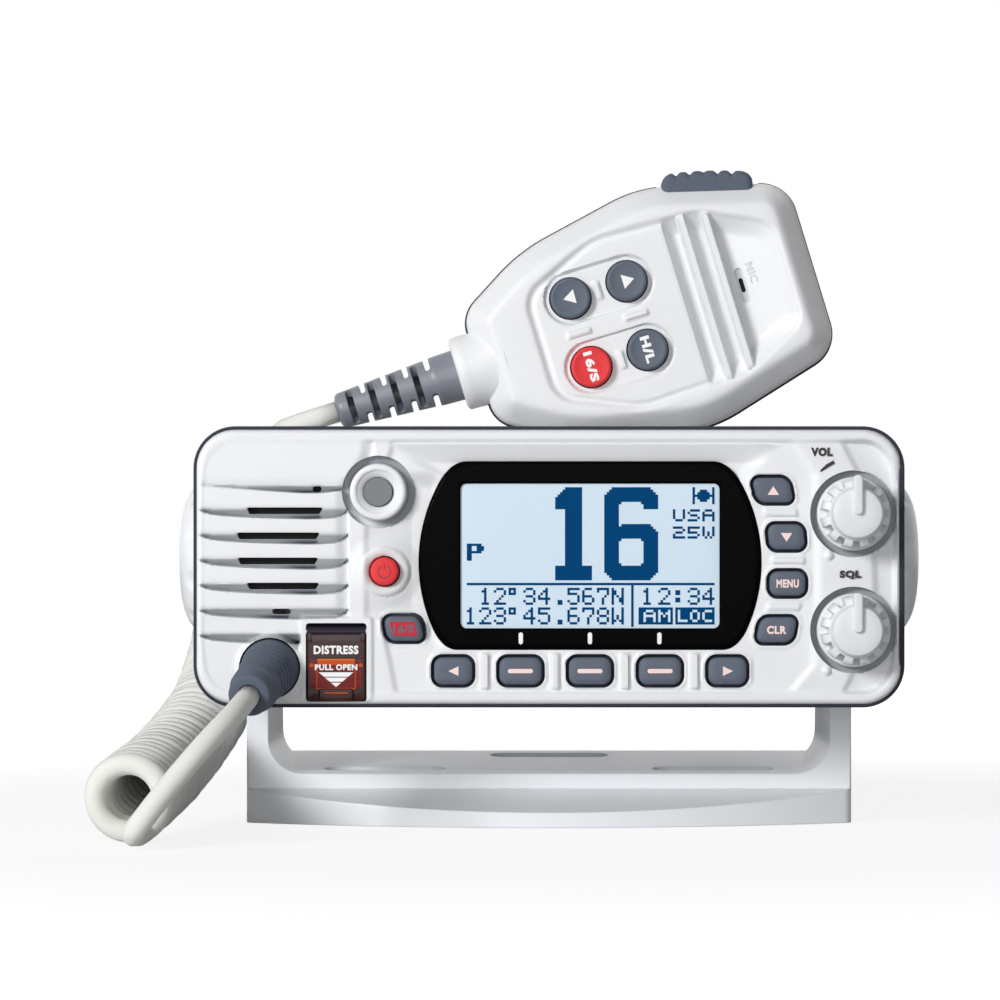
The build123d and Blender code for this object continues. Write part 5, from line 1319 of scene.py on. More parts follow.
@dataclass
class Display:
    """The lens with its dark border and the lit display behind it."""

    panel: ControlPanel
    window_width: float = 56.7
    window_height: float = 31.7
    window_z: float = 2.4
    window_corner: float = 1.3
    lens_level: float = 0.4
    picture_level: float = -1.0
    dot: float = 0.5372
    first_column: float = -18.0
    line_z: float = -3.5
    columns: int = 103
    rows_up: int = 40
    rows_down: int = 18

    def _lens(self) -> None:
        """The dark border plate with the display's opening in it."""
        outline = self.panel.lens_outline()
        window = rounded_box(self.panel.lens_x, self.window_z, self.window_width, self.window_height,
                             self.window_corner)

        def height(x: Array, z: Array) -> Array:
            """Height of the border, rounded at its edge and sloped into the window."""
            inside = np.clip(0.9 + outline(x, z), 0, 0.9)
            bevel = np.clip(0.35 - window(x, z), 0, 0.35)
            return -self.lens_level - 0.5 * (0.9 - np.sqrt(np.maximum(0.81 - inside ** 2, 0))) - bevel * 0.6

        relief = Relief(outline, (self.panel.lens_x - 37.8, -18.4), (self.panel.lens_x + 37.8, 23.35), 0.4,
                        height, [(window, self.picture_level - 0.3)], [grown(window, 0.36)], -3.1)
        points, faces = relief.build()
        raised("lens_border", [(points, faces)], PANEL, LENS_BLACK, Body.RADIO,
               ["display_lens"], 30.0)

    def _stamp(self, grid: Array, glyph: str, column: int, row: int, value: bool) -> None:
        """Set the dots of a glyph in the grid; rows count down from the dividing line."""
        for r, line in enumerate(glyph.split()):
            for c, dot in enumerate(line):
                if dot == "#":
                    grid[row + r + self.rows_up, column + c] = value

    def _word(self, grid: Array, glyphs: dict[str, str], word: str, column: int, row: int, pitch: int = 6,
              value: bool = True) -> None:
        """Set the dots of glyphs side by side."""
        for i, letter in enumerate(word):
            self._stamp(grid, glyphs[letter], column + pitch * i, row, value)

    def _grid(self) -> Array:
        """All dark dots of the picture."""
        grid = np.zeros((self.rows_up + self.rows_down, self.columns), bool)
        top = self.rows_up
        big_rows = slice(top - 39, top - 1)
        one = np.zeros((38, 15), bool)
        for r in range(9):
            one[r, max(4 - r, 0):11] = True
        one[:, 4:11] = True
        one[32:, :] = True
        grid[big_rows, 36:51] |= one
        six = np.ones((38, 22), bool)
        for r in range(3):
            six[r, :3 - r] = six[r, 19 + r:] = False
            six[37 - r, :3 - r] = six[37 - r, 19 + r:] = False
            six[15 + r, 19 + r:] = False
        six[6, 7:15] = six[7:9, 6:16] = False
        six[9:15, 6:] = False
        six[15, 6] = False
        six[21, 7:15] = six[31, 7:15] = False
        six[22:31, 6:16] = False
        grid[big_rows, 56:78] |= six
        self._word(grid, SMALL_GLYPHS, "*", 92, -39)
        self._word(grid, TINY_GLYPHS, "USA", 84, -30)
        self._word(grid, TINY_GLYPHS, "25W", 84, -23)
        self._word(grid, SMALL_GLYPHS, "P", 0, -16)
        grid[top, :101] = True
        grid[top:top + 18, 67] = True
        for row, text in ((2, " 12'34.567N"), (10, "123'45.678W")):
            for i, letter in enumerate(text):
                if letter != " ":
                    self._stamp(grid, SMALL_GLYPHS[letter], 6 * i - (0 if letter in "1." else 1), row, True)
        self._word(grid, SMALL_GLYPHS, "12:34", 72, 2)
        for left, right, word, start, pitch in ((70, 84, "AM", 72, 6), (85, 101, "LOC", 86, 5)):
            grid[top + 10:top + 17, left:right] = True
            self._word(grid, TINY_GLYPHS, word, start, 11, pitch, False)
        return grid

    def _picture(self) -> None:
        """The lit sheet and the dark dots on it."""
        level = self.picture_level
        sheet = pill_block(self.panel.lens_x, self.window_z, self.window_width + 0.6,
                           self.window_height + 0.6, self.window_corner + 0.3, level - 0.25, level, 0.05)
        raised("display_sheet", [sheet], PANEL, BACKLIGHT, Body.RADIO)
        grid = self._grid()
        parts: list[Shape] = []
        for r, row in enumerate(grid):
            column = 0
            while column < len(row):
                if not row[column]:
                    column += 1
                    continue
                end = column
                while end < len(row) and row[end]:
                    end += 1
                x0, x1 = (self.first_column + c * self.dot for c in (column, end))
                z1 = self.line_z - (r - self.rows_up) * self.dot
                parts.append(outline_slab([(x0, z1 - self.dot), (x1, z1 - self.dot), (x1, z1), (x0, z1)],
                                          level, level + 0.05))
                column = end
        raised("display_dots", parts, PANEL, SEGMENT, Body.RADIO)

    def _ticks(self) -> None:
        """Three white ticks over the soft keys."""
        marks = [pill_block(x, -15.65, 0.95, 2.6, 0.47, -self.lens_level - 0.1, -self.lens_level + 0.05, 0.04)
                 for x in (-6.17, 8.97, 24.17)]
        raised("lens_ticks", marks, PANEL, LEGEND_WHITE, Body.RADIO)

    def build(self) -> None:
        """Make the lens, the lit sheet, the dots and the ticks."""
        self._lens()
        self._picture()
        self._ticks()


# ---------------------------------------------------------------- keys
class Legend(Enum):
    """What stands on a key."""

    UP = "up"
    DOWN = "down"
    LEFT = "left"
    RIGHT = "right"
    BAR = "bar"
    LABEL = "label"
    WORD = "word"


ARROWS: dict[Legend, Point2] = {Legend.LEFT: (-1, 0), Legend.RIGHT: (1, 0), Legend.UP: (0, 1),
                                Legend.DOWN: (0, -1)}


@dataclass
class Keypad:
    """The panel's key caps with their legends."""

    panel: ControlPanel
    face: float = 0.2
    edge: float = 0.55
    raise_by: float = 0.035
    legends: tuple[tuple[str, Legend, str], ...] = (
        ("left_key", Legend.LEFT, ""), ("soft_key_1", Legend.BAR, ""), ("soft_key_2", Legend.BAR, ""),
        ("soft_key_3", Legend.BAR, ""), ("right_key", Legend.RIGHT, ""), ("up_key", Legend.UP, ""),
        ("down_key", Legend.DOWN, ""), ("menu_key", Legend.WORD, "MENU"), ("clear_key", Legend.WORD, "CLR"),
        ("channel_16_key", Legend.LABEL, "16/S"))

    def _arrow(self, kind: Legend, x: float, z: float, reach: float, half: float) -> list[Point2]:
        """Corners of an arrowhead."""
        dx, dz = ARROWS[kind]
        return [(x + dx * reach, z + dz * reach), (x - dx * reach - dz * half, z - dz * reach + dx * half),
                (x - dx * reach + dz * half, z - dz * reach - dx * half)]

    def _cap(self, key: KeyPlace) -> Shape:
        """One crowned cap."""
        _, x, z, width, height, lean = key
        rings = [box_ring(x, z, width, height, self.panel.key_corner, -4.5, lean)]
        for inset, level in ((0.0, -0.75), (0.03, -0.55), (0.14, -0.32), (0.34, -0.12), (0.62, 0.02),
                             (0.92, 0.1), (1.05, 0.16), (1.2, self.face)):
            rings.append(box_ring(x, z, width - 2 * inset, height - 2 * inset,
                                  max(self.panel.key_corner - inset * 0.55, 0.35), level, lean))
        for share in (0.7, 0.4):
            rings.append(box_ring(x, z, (width - 2.4) * share, (height - 2.4) * share, 0.3, self.face, lean))
        return lofted(rings)

    def _collar(self, key: KeyPlace) -> Shape:
        """Dark web in the gap round a cap."""
        _, x, z, width, height, lean = key
        gap = self.panel.key_gap
        return lofted([box_ring(x, z, width + 2 * gap + 0.2, height + 2 * gap + 0.2, 2.5, -2.6, lean),
                       box_ring(x, z, width - 0.1, height - 0.1, 1.7, -2.3, lean)], closed_end=False)

    def build(self) -> None:
        """Make the caps, the webs and the legends."""
        webs = [self._collar(key) for key in self.panel.keys]
        raised("key_webs", webs, PANEL, SEAL, Body.RADIO)
        for key, (name, kind, word) in zip(self.panel.keys, self.legends):
            _, x, z, width, height, _ = key
            body = key_body(name)
            raised(f"{name}_cap", [self._cap(key)], PANEL, SLATE, body, [name])
            low, high = self.face - 0.1, self.face + self.raise_by
            finish = LEGEND
            if kind in (Legend.LEFT, Legend.RIGHT):
                parts = [outline_slab(self._arrow(kind, x + 0.1, z, 1.1, 1.05), low, high)]
            elif kind in (Legend.UP, Legend.DOWN):
                arrow = self._arrow(kind, x + (0.05 if kind is Legend.UP else 0), z - 0.1, 0.95, 1.25)
                parts = [outline_slab(arrow, low, high)]
            elif kind is Legend.BAR:
                parts = [pill_block(x, z, 5.5, 0.95, 0.47, low, high, 0.03)]
            elif kind is Legend.WORD:
                parts = [lettering(word, 1.8, (x, z), low, high, width=4.9 if word == "MENU" else 4.3,
                                   weight=0.045)]
            else:
                half_w, half_h, slant = width * 0.335, height * 0.29, 0.5
                label = [(x - half_w + slant, z - half_h), (x + half_w + slant * 0.8, z - half_h),
                         (x + half_w - slant * 0.8, z + half_h), (x - half_w - slant, z + half_h)]
                parts = [outline_slab(label, low, high)]
                raised(f"{name}_word",
                       [lettering(word, 1.75, (x, z), low, high + 0.04, width=4.5, weight=0.035)], PANEL,
                       SLATE, body)
                finish = RED_MARK
            raised(f"{name}_legend", parts, PANEL, finish, body)
        self._power()

    def _power(self) -> None:
        """The round red key with its faint power sign and the dark ring round it."""
        cx, cz = self.panel.power
        face = 0.9
        profile = [(3.1, -4.5), (3.1, 0.25), (3.04, 0.5), (2.85, 0.72), (2.55, 0.84), (2.1, face),
                   (1.0, face + 0.05), (0.0, face + 0.06)]
        raised("power_key_cap", [ring_lathe(profile, (cx, cz), ROUND_SIDES)], PANEL, RED,
               key_body("power_key"), ["power_key"])
        angles = [math.radians(118 + (422 - 118) * k / 32) for k in range(33)]
        outer, inner = ([(cx + r * math.cos(a), cz - 0.1 + r * math.sin(a)) for a in angles]
                        for r in (1.5, 1.18))
        ring = [outline_slab([inner[k], outer[k], outer[k + 1], inner[k + 1]], face - 0.1, face + 0.085)
                for k in range(32)]
        ring.append(pill_block(cx, cz + 1.05, 0.34, 1.5, 0.16, face - 0.1, face + 0.085, 0.02))
        raised("power_key_sign", ring, PANEL, DARK_RED_MARK, key_body("power_key"))
        raised("power_key_web", [ring_web((cx, cz), [(3.6, -2.4), (3.0, -2.2)])], PANEL, SEAL, Body.RADIO)


# ---------------------------------------------------------------- rotary knobs
@dataclass
class RotaryKnob:
    """A fluted knob with a flat cap and a raised pointer."""

    node: str
    body: Body
    centre: Point2
    base: float = -1.3
    teeth: int = 12
    sides: int = 288

    def _fluted(self, angles: Array, radius: float, height: float) -> Array:
        """Radius with square teeth where the knob is gripped."""
        full = np.full(len(angles), radius)
        if not 5.9 < radius < 7.6:
            return full
        wave = np.clip((np.cos(self.teeth * (angles + math.pi / self.teeth)) + 0.28) * 4.0, 0, 1)
        return full - (radius - 6.0) * (1 - wave)

    def build(self) -> None:
        """Make the knob on its shaft."""
        b = self.base
        profile = [(0.0, b), (7.8, b), (8.08, b + 0.25), (8.08, b + 1.3), (7.9, b + 1.75), (7.62, b + 1.95),
                   (7.55, b + 2.0), (7.55, b + 2.3), (7.5, b + 7.6), (7.42, b + 8.3), (7.1, b + 8.8),
                   (6.5, b + 9.1), (5.92, b + 9.3), (5.75, b + 9.5), (5.62, b + 9.9), (5.55, b + 11.6),
                   (5.45, b + 12.2), (5.2, b + 12.55), (4.8, b + 12.7), (3.0, b + 12.75), (0.0, b + 12.78)]
        grip = turned(profile, self.sides, radius_at=self._fluted)
        pointer = pill_block(0.0, 3.95, 2.0, 8.6, 0.95, b + 8.0, b + 13.75, 0.35, 0.0, 0.05)
        raised(f"{self.node}_grip", [moved(joined([grip, pointer]), *self.centre)], PANEL, WHITE_KNOB,
               self.body, [self.node], 32.0)


def panel_lettering() -> None:
    """VOL and SQL with the wedge mark over the volume knob."""
    level = -0.42
    parts = [lettering("VOL", 1.95, (59.7, 25.15), level - 0.4, level + 0.04, width=4.7, weight=0.065),
             lettering("SQL", 1.95, (65.95, -1.75), level - 0.4, level + 0.04, width=4.7, weight=0.065)]
    start, end = (59.2, 20.6), (62.5, 22.9)
    wedge = [(start[0], start[1]), (59.9, 20.9), (61.2, 21.8), (end[0] + 0.05, end[1] - 0.3),
             (end[0] - 0.3, end[1] + 0.4), (60.7, 22.45), (59.5, 21.3)]
    parts.append(outline_slab(wedge, level - 0.4, level + 0.04))
    raised("knob_lettering", parts, PANEL, LEGEND_BLACK, Body.RADIO)


# ---------------------------------------------------------------- microphone
@dataclass
class Microphone:
    """Front shell of the fist microphone with its collar, caps and legends."""

    outline: tuple[tuple[float, float, float], ...] = (
        (-40.4, 12.5, 7.0), (-24.0, 22.3, 40.0), (6.0, 28.4, 30.0), (38.4, 19.6, 8.0))
    recess: tuple[tuple[float, float, float], ...] = (
        (-26.5, 12.5, 7.0), (-8.0, 20.6, 16.0), (17.0, 19.6, 14.0), (32.5, 12.0, 6.0))
    front: float = 9.45
    wall: float = 3.2
    shoulder: float = 5.2
    cell: float = 0.38
    plate_end: float = 8.2
    ribs: tuple[float, ...] = (12.7, 18.1)
    key_places: tuple[tuple[str, float, float], ...] = (
        ("mic_down_key", -16.2, 8.6), ("mic_up_key", -3.0, 8.6), ("mic_16_key", -16.2, -7.5),
        ("mic_power_level_key", -3.0, -7.5))
    key_radius: float = 4.5
    slot: Point2 = (21.8, 0.3)
    cap_sink: float = 0.36
    cap_rise: float = 1.35

    def _mirrored(self, corners: Sequence[tuple[float, float, float]]) -> list[Point2]:
        """A closed outline from its upper half, turning left."""
        return rounded_corners([(u, -v, r) for u, v, r in corners] + list(corners)[::-1])

    def heights(self, u: Array, v: Array) -> Array:
        """Height of the front shell over the joint."""
        d = -self._edge(u, v)
        full = self.front - self.wall
        rise = full * (d + 0.35) / self.shoulder
        h = self.wall + 0.5 * (rise + full - np.sqrt((rise - full) ** 2 + 0.9))
        h = h - 0.8 * (1 - np.sqrt(np.clip(1 - np.clip(1 - d / 0.9, 0, 1) ** 2, 0, 1)))
        inner = -self._well(u, v)
        floor = 0.95 * ramp(inner, -0.3, 1.3)
        plate = ramp(inner, 1.5, 2.3) * (1 - ramp(u, self.plate_end - 0.35, self.plate_end + 0.1))
        floor = floor - 0.5 * plate
        bowl_side = ramp(u, self.plate_end - 0.2, self.plate_end + 0.9)
        right_slope = 1 - ramp(u, 20.0, 33.0)
        bowl = 3.3 * ramp(inner, 0.0, 4.6) * bowl_side * (0.15 + 0.85 * right_slope)
        h = h - floor - bowl
        for at in self.ribs:
            bar = (1 - ramp(np.abs(u - at), 0.62, 1.15)) * ramp(inner, 0.3, 1.0)
            h = h * (1 - bar) + (self.front - 0.12) * bar
        for row in (8.6, -7.5):
            h = h - 0.85 * (1 - ramp(capsule(-16.2, row, -3.0, row, 5.95)(u, v), -0.35, 0.1))
        for cu, cv, w, t in ((-16.6, 0.5, 5.6, 1.5), (-3.2, 0.7, 5.6, 1.5), (-9.8, 8.5, 1.6, 4.2),
                             (-9.2, -7.9, 1.6, 4.2)):
            h = h + 0.7 * (1 - ramp(rounded_box(cu, cv, w, t, 0.4)(u, v), -0.45, 0.25))
        return h

    def _shell(self) -> Shape:
        """The front shell as a relief."""
        self._edge = polygon(self._mirrored(self.outline))
        self._well = polygon(self._mirrored(self.recess))
        holes: list[tuple[Field2D, float]] = [(circle(cu, cv, self.key_radius + 0.32), 6.4)
                                              for _, cu, cv in self.key_places]
        holes.append((capsule(self.slot[0], self.slot[1] - 3.15, self.slot[0], self.slot[1] + 3.15, 0.95),
                      4.4))
        return Relief(self._edge, (-40.6, -29.2), (38.7, 29.2), self.cell, self.heights, holes, [],
                      0.0).build()

    def _collar(self) -> Shape:
        """Front half of the flared collar that the cord boot goes into."""
        rings: list[Array] = []
        angles = np.linspace(-2.0, 182.0, 61)
        for u, r in ((-45.35, 4.6), (-45.4, 7.3), (-45.2, 7.9), (-44.7, 8.35), (-43.0, 8.4), (-40.5, 8.35),
                     (-38.2, 8.7), (-36.4, 9.7), (-34.9, 11.4), (-34.0, 13.2)):
            squash = 1.0 if u < -38 else 1.0 - (u + 38) * 0.07
            a = np.radians(angles)
            rings.append(np.column_stack([np.full(len(a), u), -r * np.cos(a),
                                          np.maximum(r * np.sin(a) * squash, 0.0)]))
        points = np.vstack(rings)
        count = len(angles)
        faces: list[tuple[int, ...]] = []
        for k in range(len(rings) - 1):
            a, b = k * count, (k + 1) * count
            faces += [(a + i, b + i, b + i + 1, a + i + 1) for i in range(count - 1)]
        return points, faces

    def _cap(self, cu: float, cv: float) -> Shape:
        """One round key cap, its rim raised round a slightly dished face."""
        r, top = self.key_radius, self.front - self.cap_sink + self.cap_rise
        profile = [(r, 3.0), (r, top - 0.75), (r - 0.06, top - 0.4), (r - 0.25, top - 0.12), (r - 0.55, top),
                   (r - 0.8, top - 0.02), (r - 0.95, top - 0.1), (2.0, top - 0.12), (0.0, top - 0.12)]
        return ring_lathe(profile, (cu, cv), ROUND_SIDES)

    def build(self) -> None:
        """Make the shell, the caps and their legends."""
        raised("mic_front", [self._shell(), self._collar()], MIC, WHITE_GRAINED, Body.MICROPHONE,
               ["mic_front_shell"], 42.0)
        low = self.front - self.cap_sink + self.cap_rise - 0.2
        high = low + 0.14
        for name, cu, cv in self.key_places:
            red = name == "mic_16_key"
            body = key_body(name)
            raised(f"{name}_cap", [self._cap(cu, cv)], MIC, RED if red else SLATE, body,
                   [name])
            if name == "mic_down_key":
                parts = [outline_slab([(cu - 1.6, cv + 0.1), (cu + 1.0, cv - 1.55), (cu + 1.1, cv + 1.7)],
                                      low, high)]
            elif name == "mic_up_key":
                parts = [outline_slab([(cu + 1.7, cv), (cu - 0.95, cv + 1.65), (cu - 0.95, cv - 1.65)], low,
                                      high)]
            elif red:
                parts = [lettering("16/S", 2.05, (cu, cv), low, high, -90.0, 6.9, 0.055)]
            else:
                parts = [lettering("H/L", 2.15, (cu, cv), low, high, -90.0, 6.1, 0.055)]
            raised(f"{name}_legend", parts, MIC, LEGEND_WHITE, body)
        rings = [ring_web((cu, cv), [(self.key_radius + 0.5, 6.6), (self.key_radius - 0.1, 6.8)])
                 for _, cu, cv in self.key_places]
        raised("mic_key_webs", rings, MIC, SEAL, Body.MICROPHONE)
        self._seal()
        self._sound_slot()
        # the MIC mark is painted a darker grey than the shell, as shade
        points, faces = lettering("MIC", 1.75, (24.5, 2.5), 0.0, 1.0, -88.0, 4.8, 0.02)
        level = self.heights(points[:, 0], points[:, 1])
        points[:, 2] = level + np.where(points[:, 2] > 0.5, 0.17, -0.4)
        raised("mic_mark", [(points, faces)], MIC, SHADE_GREY, Body.MICROPHONE)

    def _seal(self) -> None:
        """Dark joint seal that shows as a thin line round the shell."""
        line = np.array(self._mirrored(self.outline))
        along = np.roll(line, -1, axis=0) - np.roll(line, 1, axis=0)
        along /= np.linalg.norm(along, axis=1)[:, None]
        out = np.column_stack([along[:, 1], -along[:, 0]])
        key = TalkKey()
        slope = math.radians(key.slope)
        beside = (line - np.array(key.place)) @ np.array([math.cos(slope), math.sin(slope)])
        under_key = (np.abs(beside) < key.half + 0.5) & (line[:, 1] > 10)
        rings = [np.column_stack([line + out * np.where(under_key, -5.5 + 0.3 * grow, grow)[:, None],
                                  np.full(len(line), level)])
                 for grow, level in ((-0.6, -0.62), (0.32, -0.6), (0.46, -0.45), (0.46, 0.05), (0.32, 0.2),
                                     (-0.3, 0.25))]
        raised("mic_seal", [lofted(rings, closed_end=False)], MIC, SEAL, Body.MICROPHONE,
               ["mic_gasket"])

    def _sound_slot(self) -> None:
        """Shallow pill-shaped dish with the sound opening in it, a black sheet behind the opening as painted
        shade, and the capsule behind; the dish is painted a darker grey as shade.
        """
        cu, cv = self.slot
        top = self._level(cu, cv)
        rings = [box_ring(cu, cv, 2 * r, 6.3 + 2 * r, r, level)
                 for r, level in ((0.99, top - 0.3), (0.9, top - 0.42), (0.72, top - 0.48))]
        rings.append(box_ring(cu, cv + 0.1, 1.0, 3.3, 0.45, top - 0.5))
        rings.append(box_ring(cu, cv + 0.1, 0.95, 3.2, 0.42, top - 1.0))
        raised("mic_slot_dish", [lofted(rings, closed_end=False)], MIC, SHADE_GREY, Body.MICROPHONE)
        # a black sheet behind the sound opening: painted shade that makes the opening look dark
        raised("mic_slot_shade_sheet", [lofted([box_ring(cu, cv, 1.7, 4.2, 0.5, top - 1.1),
                                          box_ring(cu, cv, 1.2, 3.7, 0.45, top - 0.9)])], MIC, CLOTH,
               Body.MICROPHONE)
        can = [(0.0, 0.2), (4.6, 0.2), (4.75, 0.4), (4.75, 3.8), (4.6, 4.05), (3.9, 4.1), (3.8, 4.0),
               (0.0, 4.0)]
        raised("mic_capsule_can", [turned(can, 48, (cu, 0.0, 0.0))], MIC, PLATED, Body.MICROPHONE,
               ["mic_capsule"])

    def _level(self, u: float, v: float) -> float:
        """Height of the shell at one place."""
        return float(self.heights(np.array([u]), np.array([v]))[0])


@dataclass
class TalkKey:
    """Push-to-talk bar on the microphone's upper edge, arched and scalloped."""

    place: Point2 = (20.9, 24.25)
    slope: float = -15.2
    half: float = 10.3
    half_depth: float = 5.4
    foot: float = -3.2
    top: float = 3.35
    notches: tuple[float, ...] = (-7.0, -3.9, -0.8, 2.4, 5.6)
    steps: int = 150

    def _top(self, along: float) -> float:
        """Height of the arched, scalloped upper side."""
        high = self.top - 0.55 * (along / self.half) ** 2
        for at in self.notches:
            high -= (0.35 if at == -0.8 else 0.75) * math.exp(-((along - at) / 0.62) ** 2)
        end = max(self.half - abs(along), 0.0)
        if end < 2.8:
            high = self.foot + (high - self.foot) * (0.62 + 0.38 * math.sqrt(1 - (1 - end / 2.8) ** 2))
        return high

    def build(self) -> None:
        """Make the bar as one skin over cross-sections."""
        a = math.radians(self.slope)
        rings: list[Array] = []
        for k in range(self.steps + 1):
            along = self.half * (2 * k / self.steps - 1)
            end = min((self.half - abs(along)) / 1.6, 1.0)
            depth = self.half_depth - 1.4 * (1 - math.sqrt(max(1 - (1 - end) ** 2, 0)))
            high = self._top(along)
            section = box_ring(0.0, (high + self.foot) / 2, 2 * depth, high - self.foot, 1.35, 0.0, steps=5)
            b, c = section[:, 1], section[:, 0]
            u = self.place[0] + along * math.cos(a) - b * math.sin(a)
            v = self.place[1] + along * math.sin(a) + b * math.cos(a)
            rings.append(np.column_stack([u, v, c]))
        raised("talk_bar", [lofted(rings, closed_start=True)], MIC, BOOT, Body.TALK,
               ["push_to_talk_key"], 30.0)


# ---------------------------------------------------------------- distress lid
@dataclass
class DistressLid:
    """Smoke-red hinged lid with its hinge barrel, frame, marks and pull grip."""

    x: float = -46.55
    width: float = 12.8
    low: float = -29.25
    high: float = -14.6
    face: float = 0.55
    hinge_z: float = -14.2
    hinge_level: float = -0.6

    def _strip(self, x: float, z: float, width: float, height: float, level: float,
               radius: float = 0.08) -> Shape:
        """One thin flat bar on the lid."""
        return pill_block(x, z, width, height, radius, level - 0.12, level, 0.02)

    def build(self) -> None:
        """Make the lid's plate, hinge, bands, marks and grip."""
        x, level = self.x, self.face
        middle, tall = (self.low + self.high) / 2, self.high - self.low
        plate = pill_block(x, middle, self.width, tall, 0.7, -0.75, level, 0.3)
        ear = [pill_block(x + side * 5.85, self.hinge_z - 1.2, 1.0, 1.9, 0.3, -0.6, 0.62, 0.15)
               for side in (-1, 1)]
        grip = pill_block(x, -27.85, 7.5, 2.55, 0.45, 0.4, 1.15, 0.35)
        raised("distress_lid_plate", [plate, *ear, grip], PANEL, LID_SMOKE, Body.LID,
               ["distress_cover"])
        barrel = [(0.0, 0.0), (1.1, 0.0), (1.22, 0.12), (1.22, 12.68), (1.1, 12.8), (0.0, 12.8)]
        raised("distress_lid_barrel",
               [turned(barrel, 40, (x - 6.4, self.hinge_z, self.hinge_level), (1, 0, 0))], PANEL, LID_HINGE,
               Body.LID)
        upper, inner = level + 0.02, level + 0.03
        red = [self._strip(x, -24.3, 8.2, 4.9, upper), self._strip(x - 5.05, -23.4, 1.3, 6.2, upper),
               self._strip(x + 5.05, -23.4, 1.3, 6.2, upper)]
        raised("distress_lid_window", red, PANEL, LID_RED, Body.LID)
        band = [self._strip(x, -20.85, 8.25, 1.35, inner), self._strip(x - 5.4, -21.5, 0.9, 0.8, inner, 0.3),
                self._strip(x + 5.4, -21.5, 0.9, 0.8, inner, 0.3), self._strip(x, -26.65, 8.4, 0.34, inner),
                self._strip(x - 4.2, -24.0, 0.2, 5.2, inner), self._strip(x + 4.2, -24.0, 0.2, 5.2, inner),
                self._strip(x, -27.55, 5.1, 0.26, 1.17), self._strip(x, -28.85, 5.2, 0.26, 1.1)]
        raised("distress_lid_band", band, PANEL, LID_BAND, Body.LID)
        raised("distress_lid_light", [self._strip(x, -20.28, 8.2, 0.3, inner + 0.02)], PANEL, LID_LIGHT,
               Body.LID)
        high = level + 0.08
        marks = [lettering("DISTRESS", 1.9, (x, -18.15), level - 0.1, high, width=9.8, weight=0.045),
                 lettering("PULL OPEN", 1.3, (x, -21.95), level - 0.1, high, width=9.3, weight=0.045)]
        top, tip, half = -23.05, -26.25, 3.8
        for start, end in ((0.0, 0.3), (0.36, 0.64), (0.71, 1.0)):
            z0, z1 = top + (tip - top) * start, top + (tip - top) * end
            w0, w1 = half * (1 - start), half * (1 - end)
            foot = [(x - w1, z1), (x + w1, z1)] if w1 > 0.01 else [(x, z1)]
            corners = [(x - w0, z0), *foot, (x + w0, z0)]
            marks.append(outline_slab(corners, level - 0.1, high))
        raised("distress_lid_marks", marks, PANEL, LEGEND_WHITE, Body.LID)


# ---------------------------------------------------------------- clamp knobs
@dataclass
class ClampKnob:
    """Domed hand knob with a scalloped rim, on its stud."""

    side: int
    radius: float = 18.75
    out: float = 16.8
    lobes: int = 10
    leg: float = 69.3
    axis_z: float = 60.6
    stud: float = 3.0
    reach: float = 12.3

    def _scalloped(self, angles: Array, radius: float, height: float) -> Array:
        """Radius with shallow finger scallops that fade out on the dome."""
        fade = ramp(np.array(radius), self.radius * 0.62, self.radius * 0.9)
        fade = fade * (1 - ramp(np.array(height), 11.5, 15.5))
        if height < 0.05:
            fade = fade * 0.6
        wave = np.clip(np.cos(self.lobes * (angles + math.pi / self.lobes)), 0, 1) ** 1.4
        return radius - 1.25 * wave * float(fade)

    def build(self) -> None:
        """Make the knob on its side of the bracket."""
        r, w = self.radius, self.out
        profile = [(0.0, -self.reach), (self.stud - 0.5, -self.reach), (self.stud, 0.5 - self.reach),
                   (self.stud, 0.0), (r - 2.6, 0.0), (r - 1.7, 0.35), (r - 1.15, 1.2)]
        profile += [(r - 1.15 + 1.15 * math.sin(math.radians(a)), 1.2 + (w - 9.0) * a / 90)
                    for a in range(10, 91, 10)]
        for a in range(5, 91, 5):
            t = math.radians(a)
            profile.append((r * math.cos(t) ** 0.55, w - 7.8 + 7.8 * math.sin(t)))
        profile[-1] = (0.0, w)
        name = "left_clamp_knob" if self.side < 0 else "right_clamp_knob"
        points, faces = turned(profile, 240, (self.side * self.leg, 0.0, self.axis_z), (self.side, 0, 0),
                               self._scalloped)
        place_piece(f"{name}_grip", plain_mesh(name, points, faces, 50.0), BRACKET_WHITE.material(),
                    Body.LEFT_KNOB if self.side < 0 else Body.RIGHT_KNOB, [name])


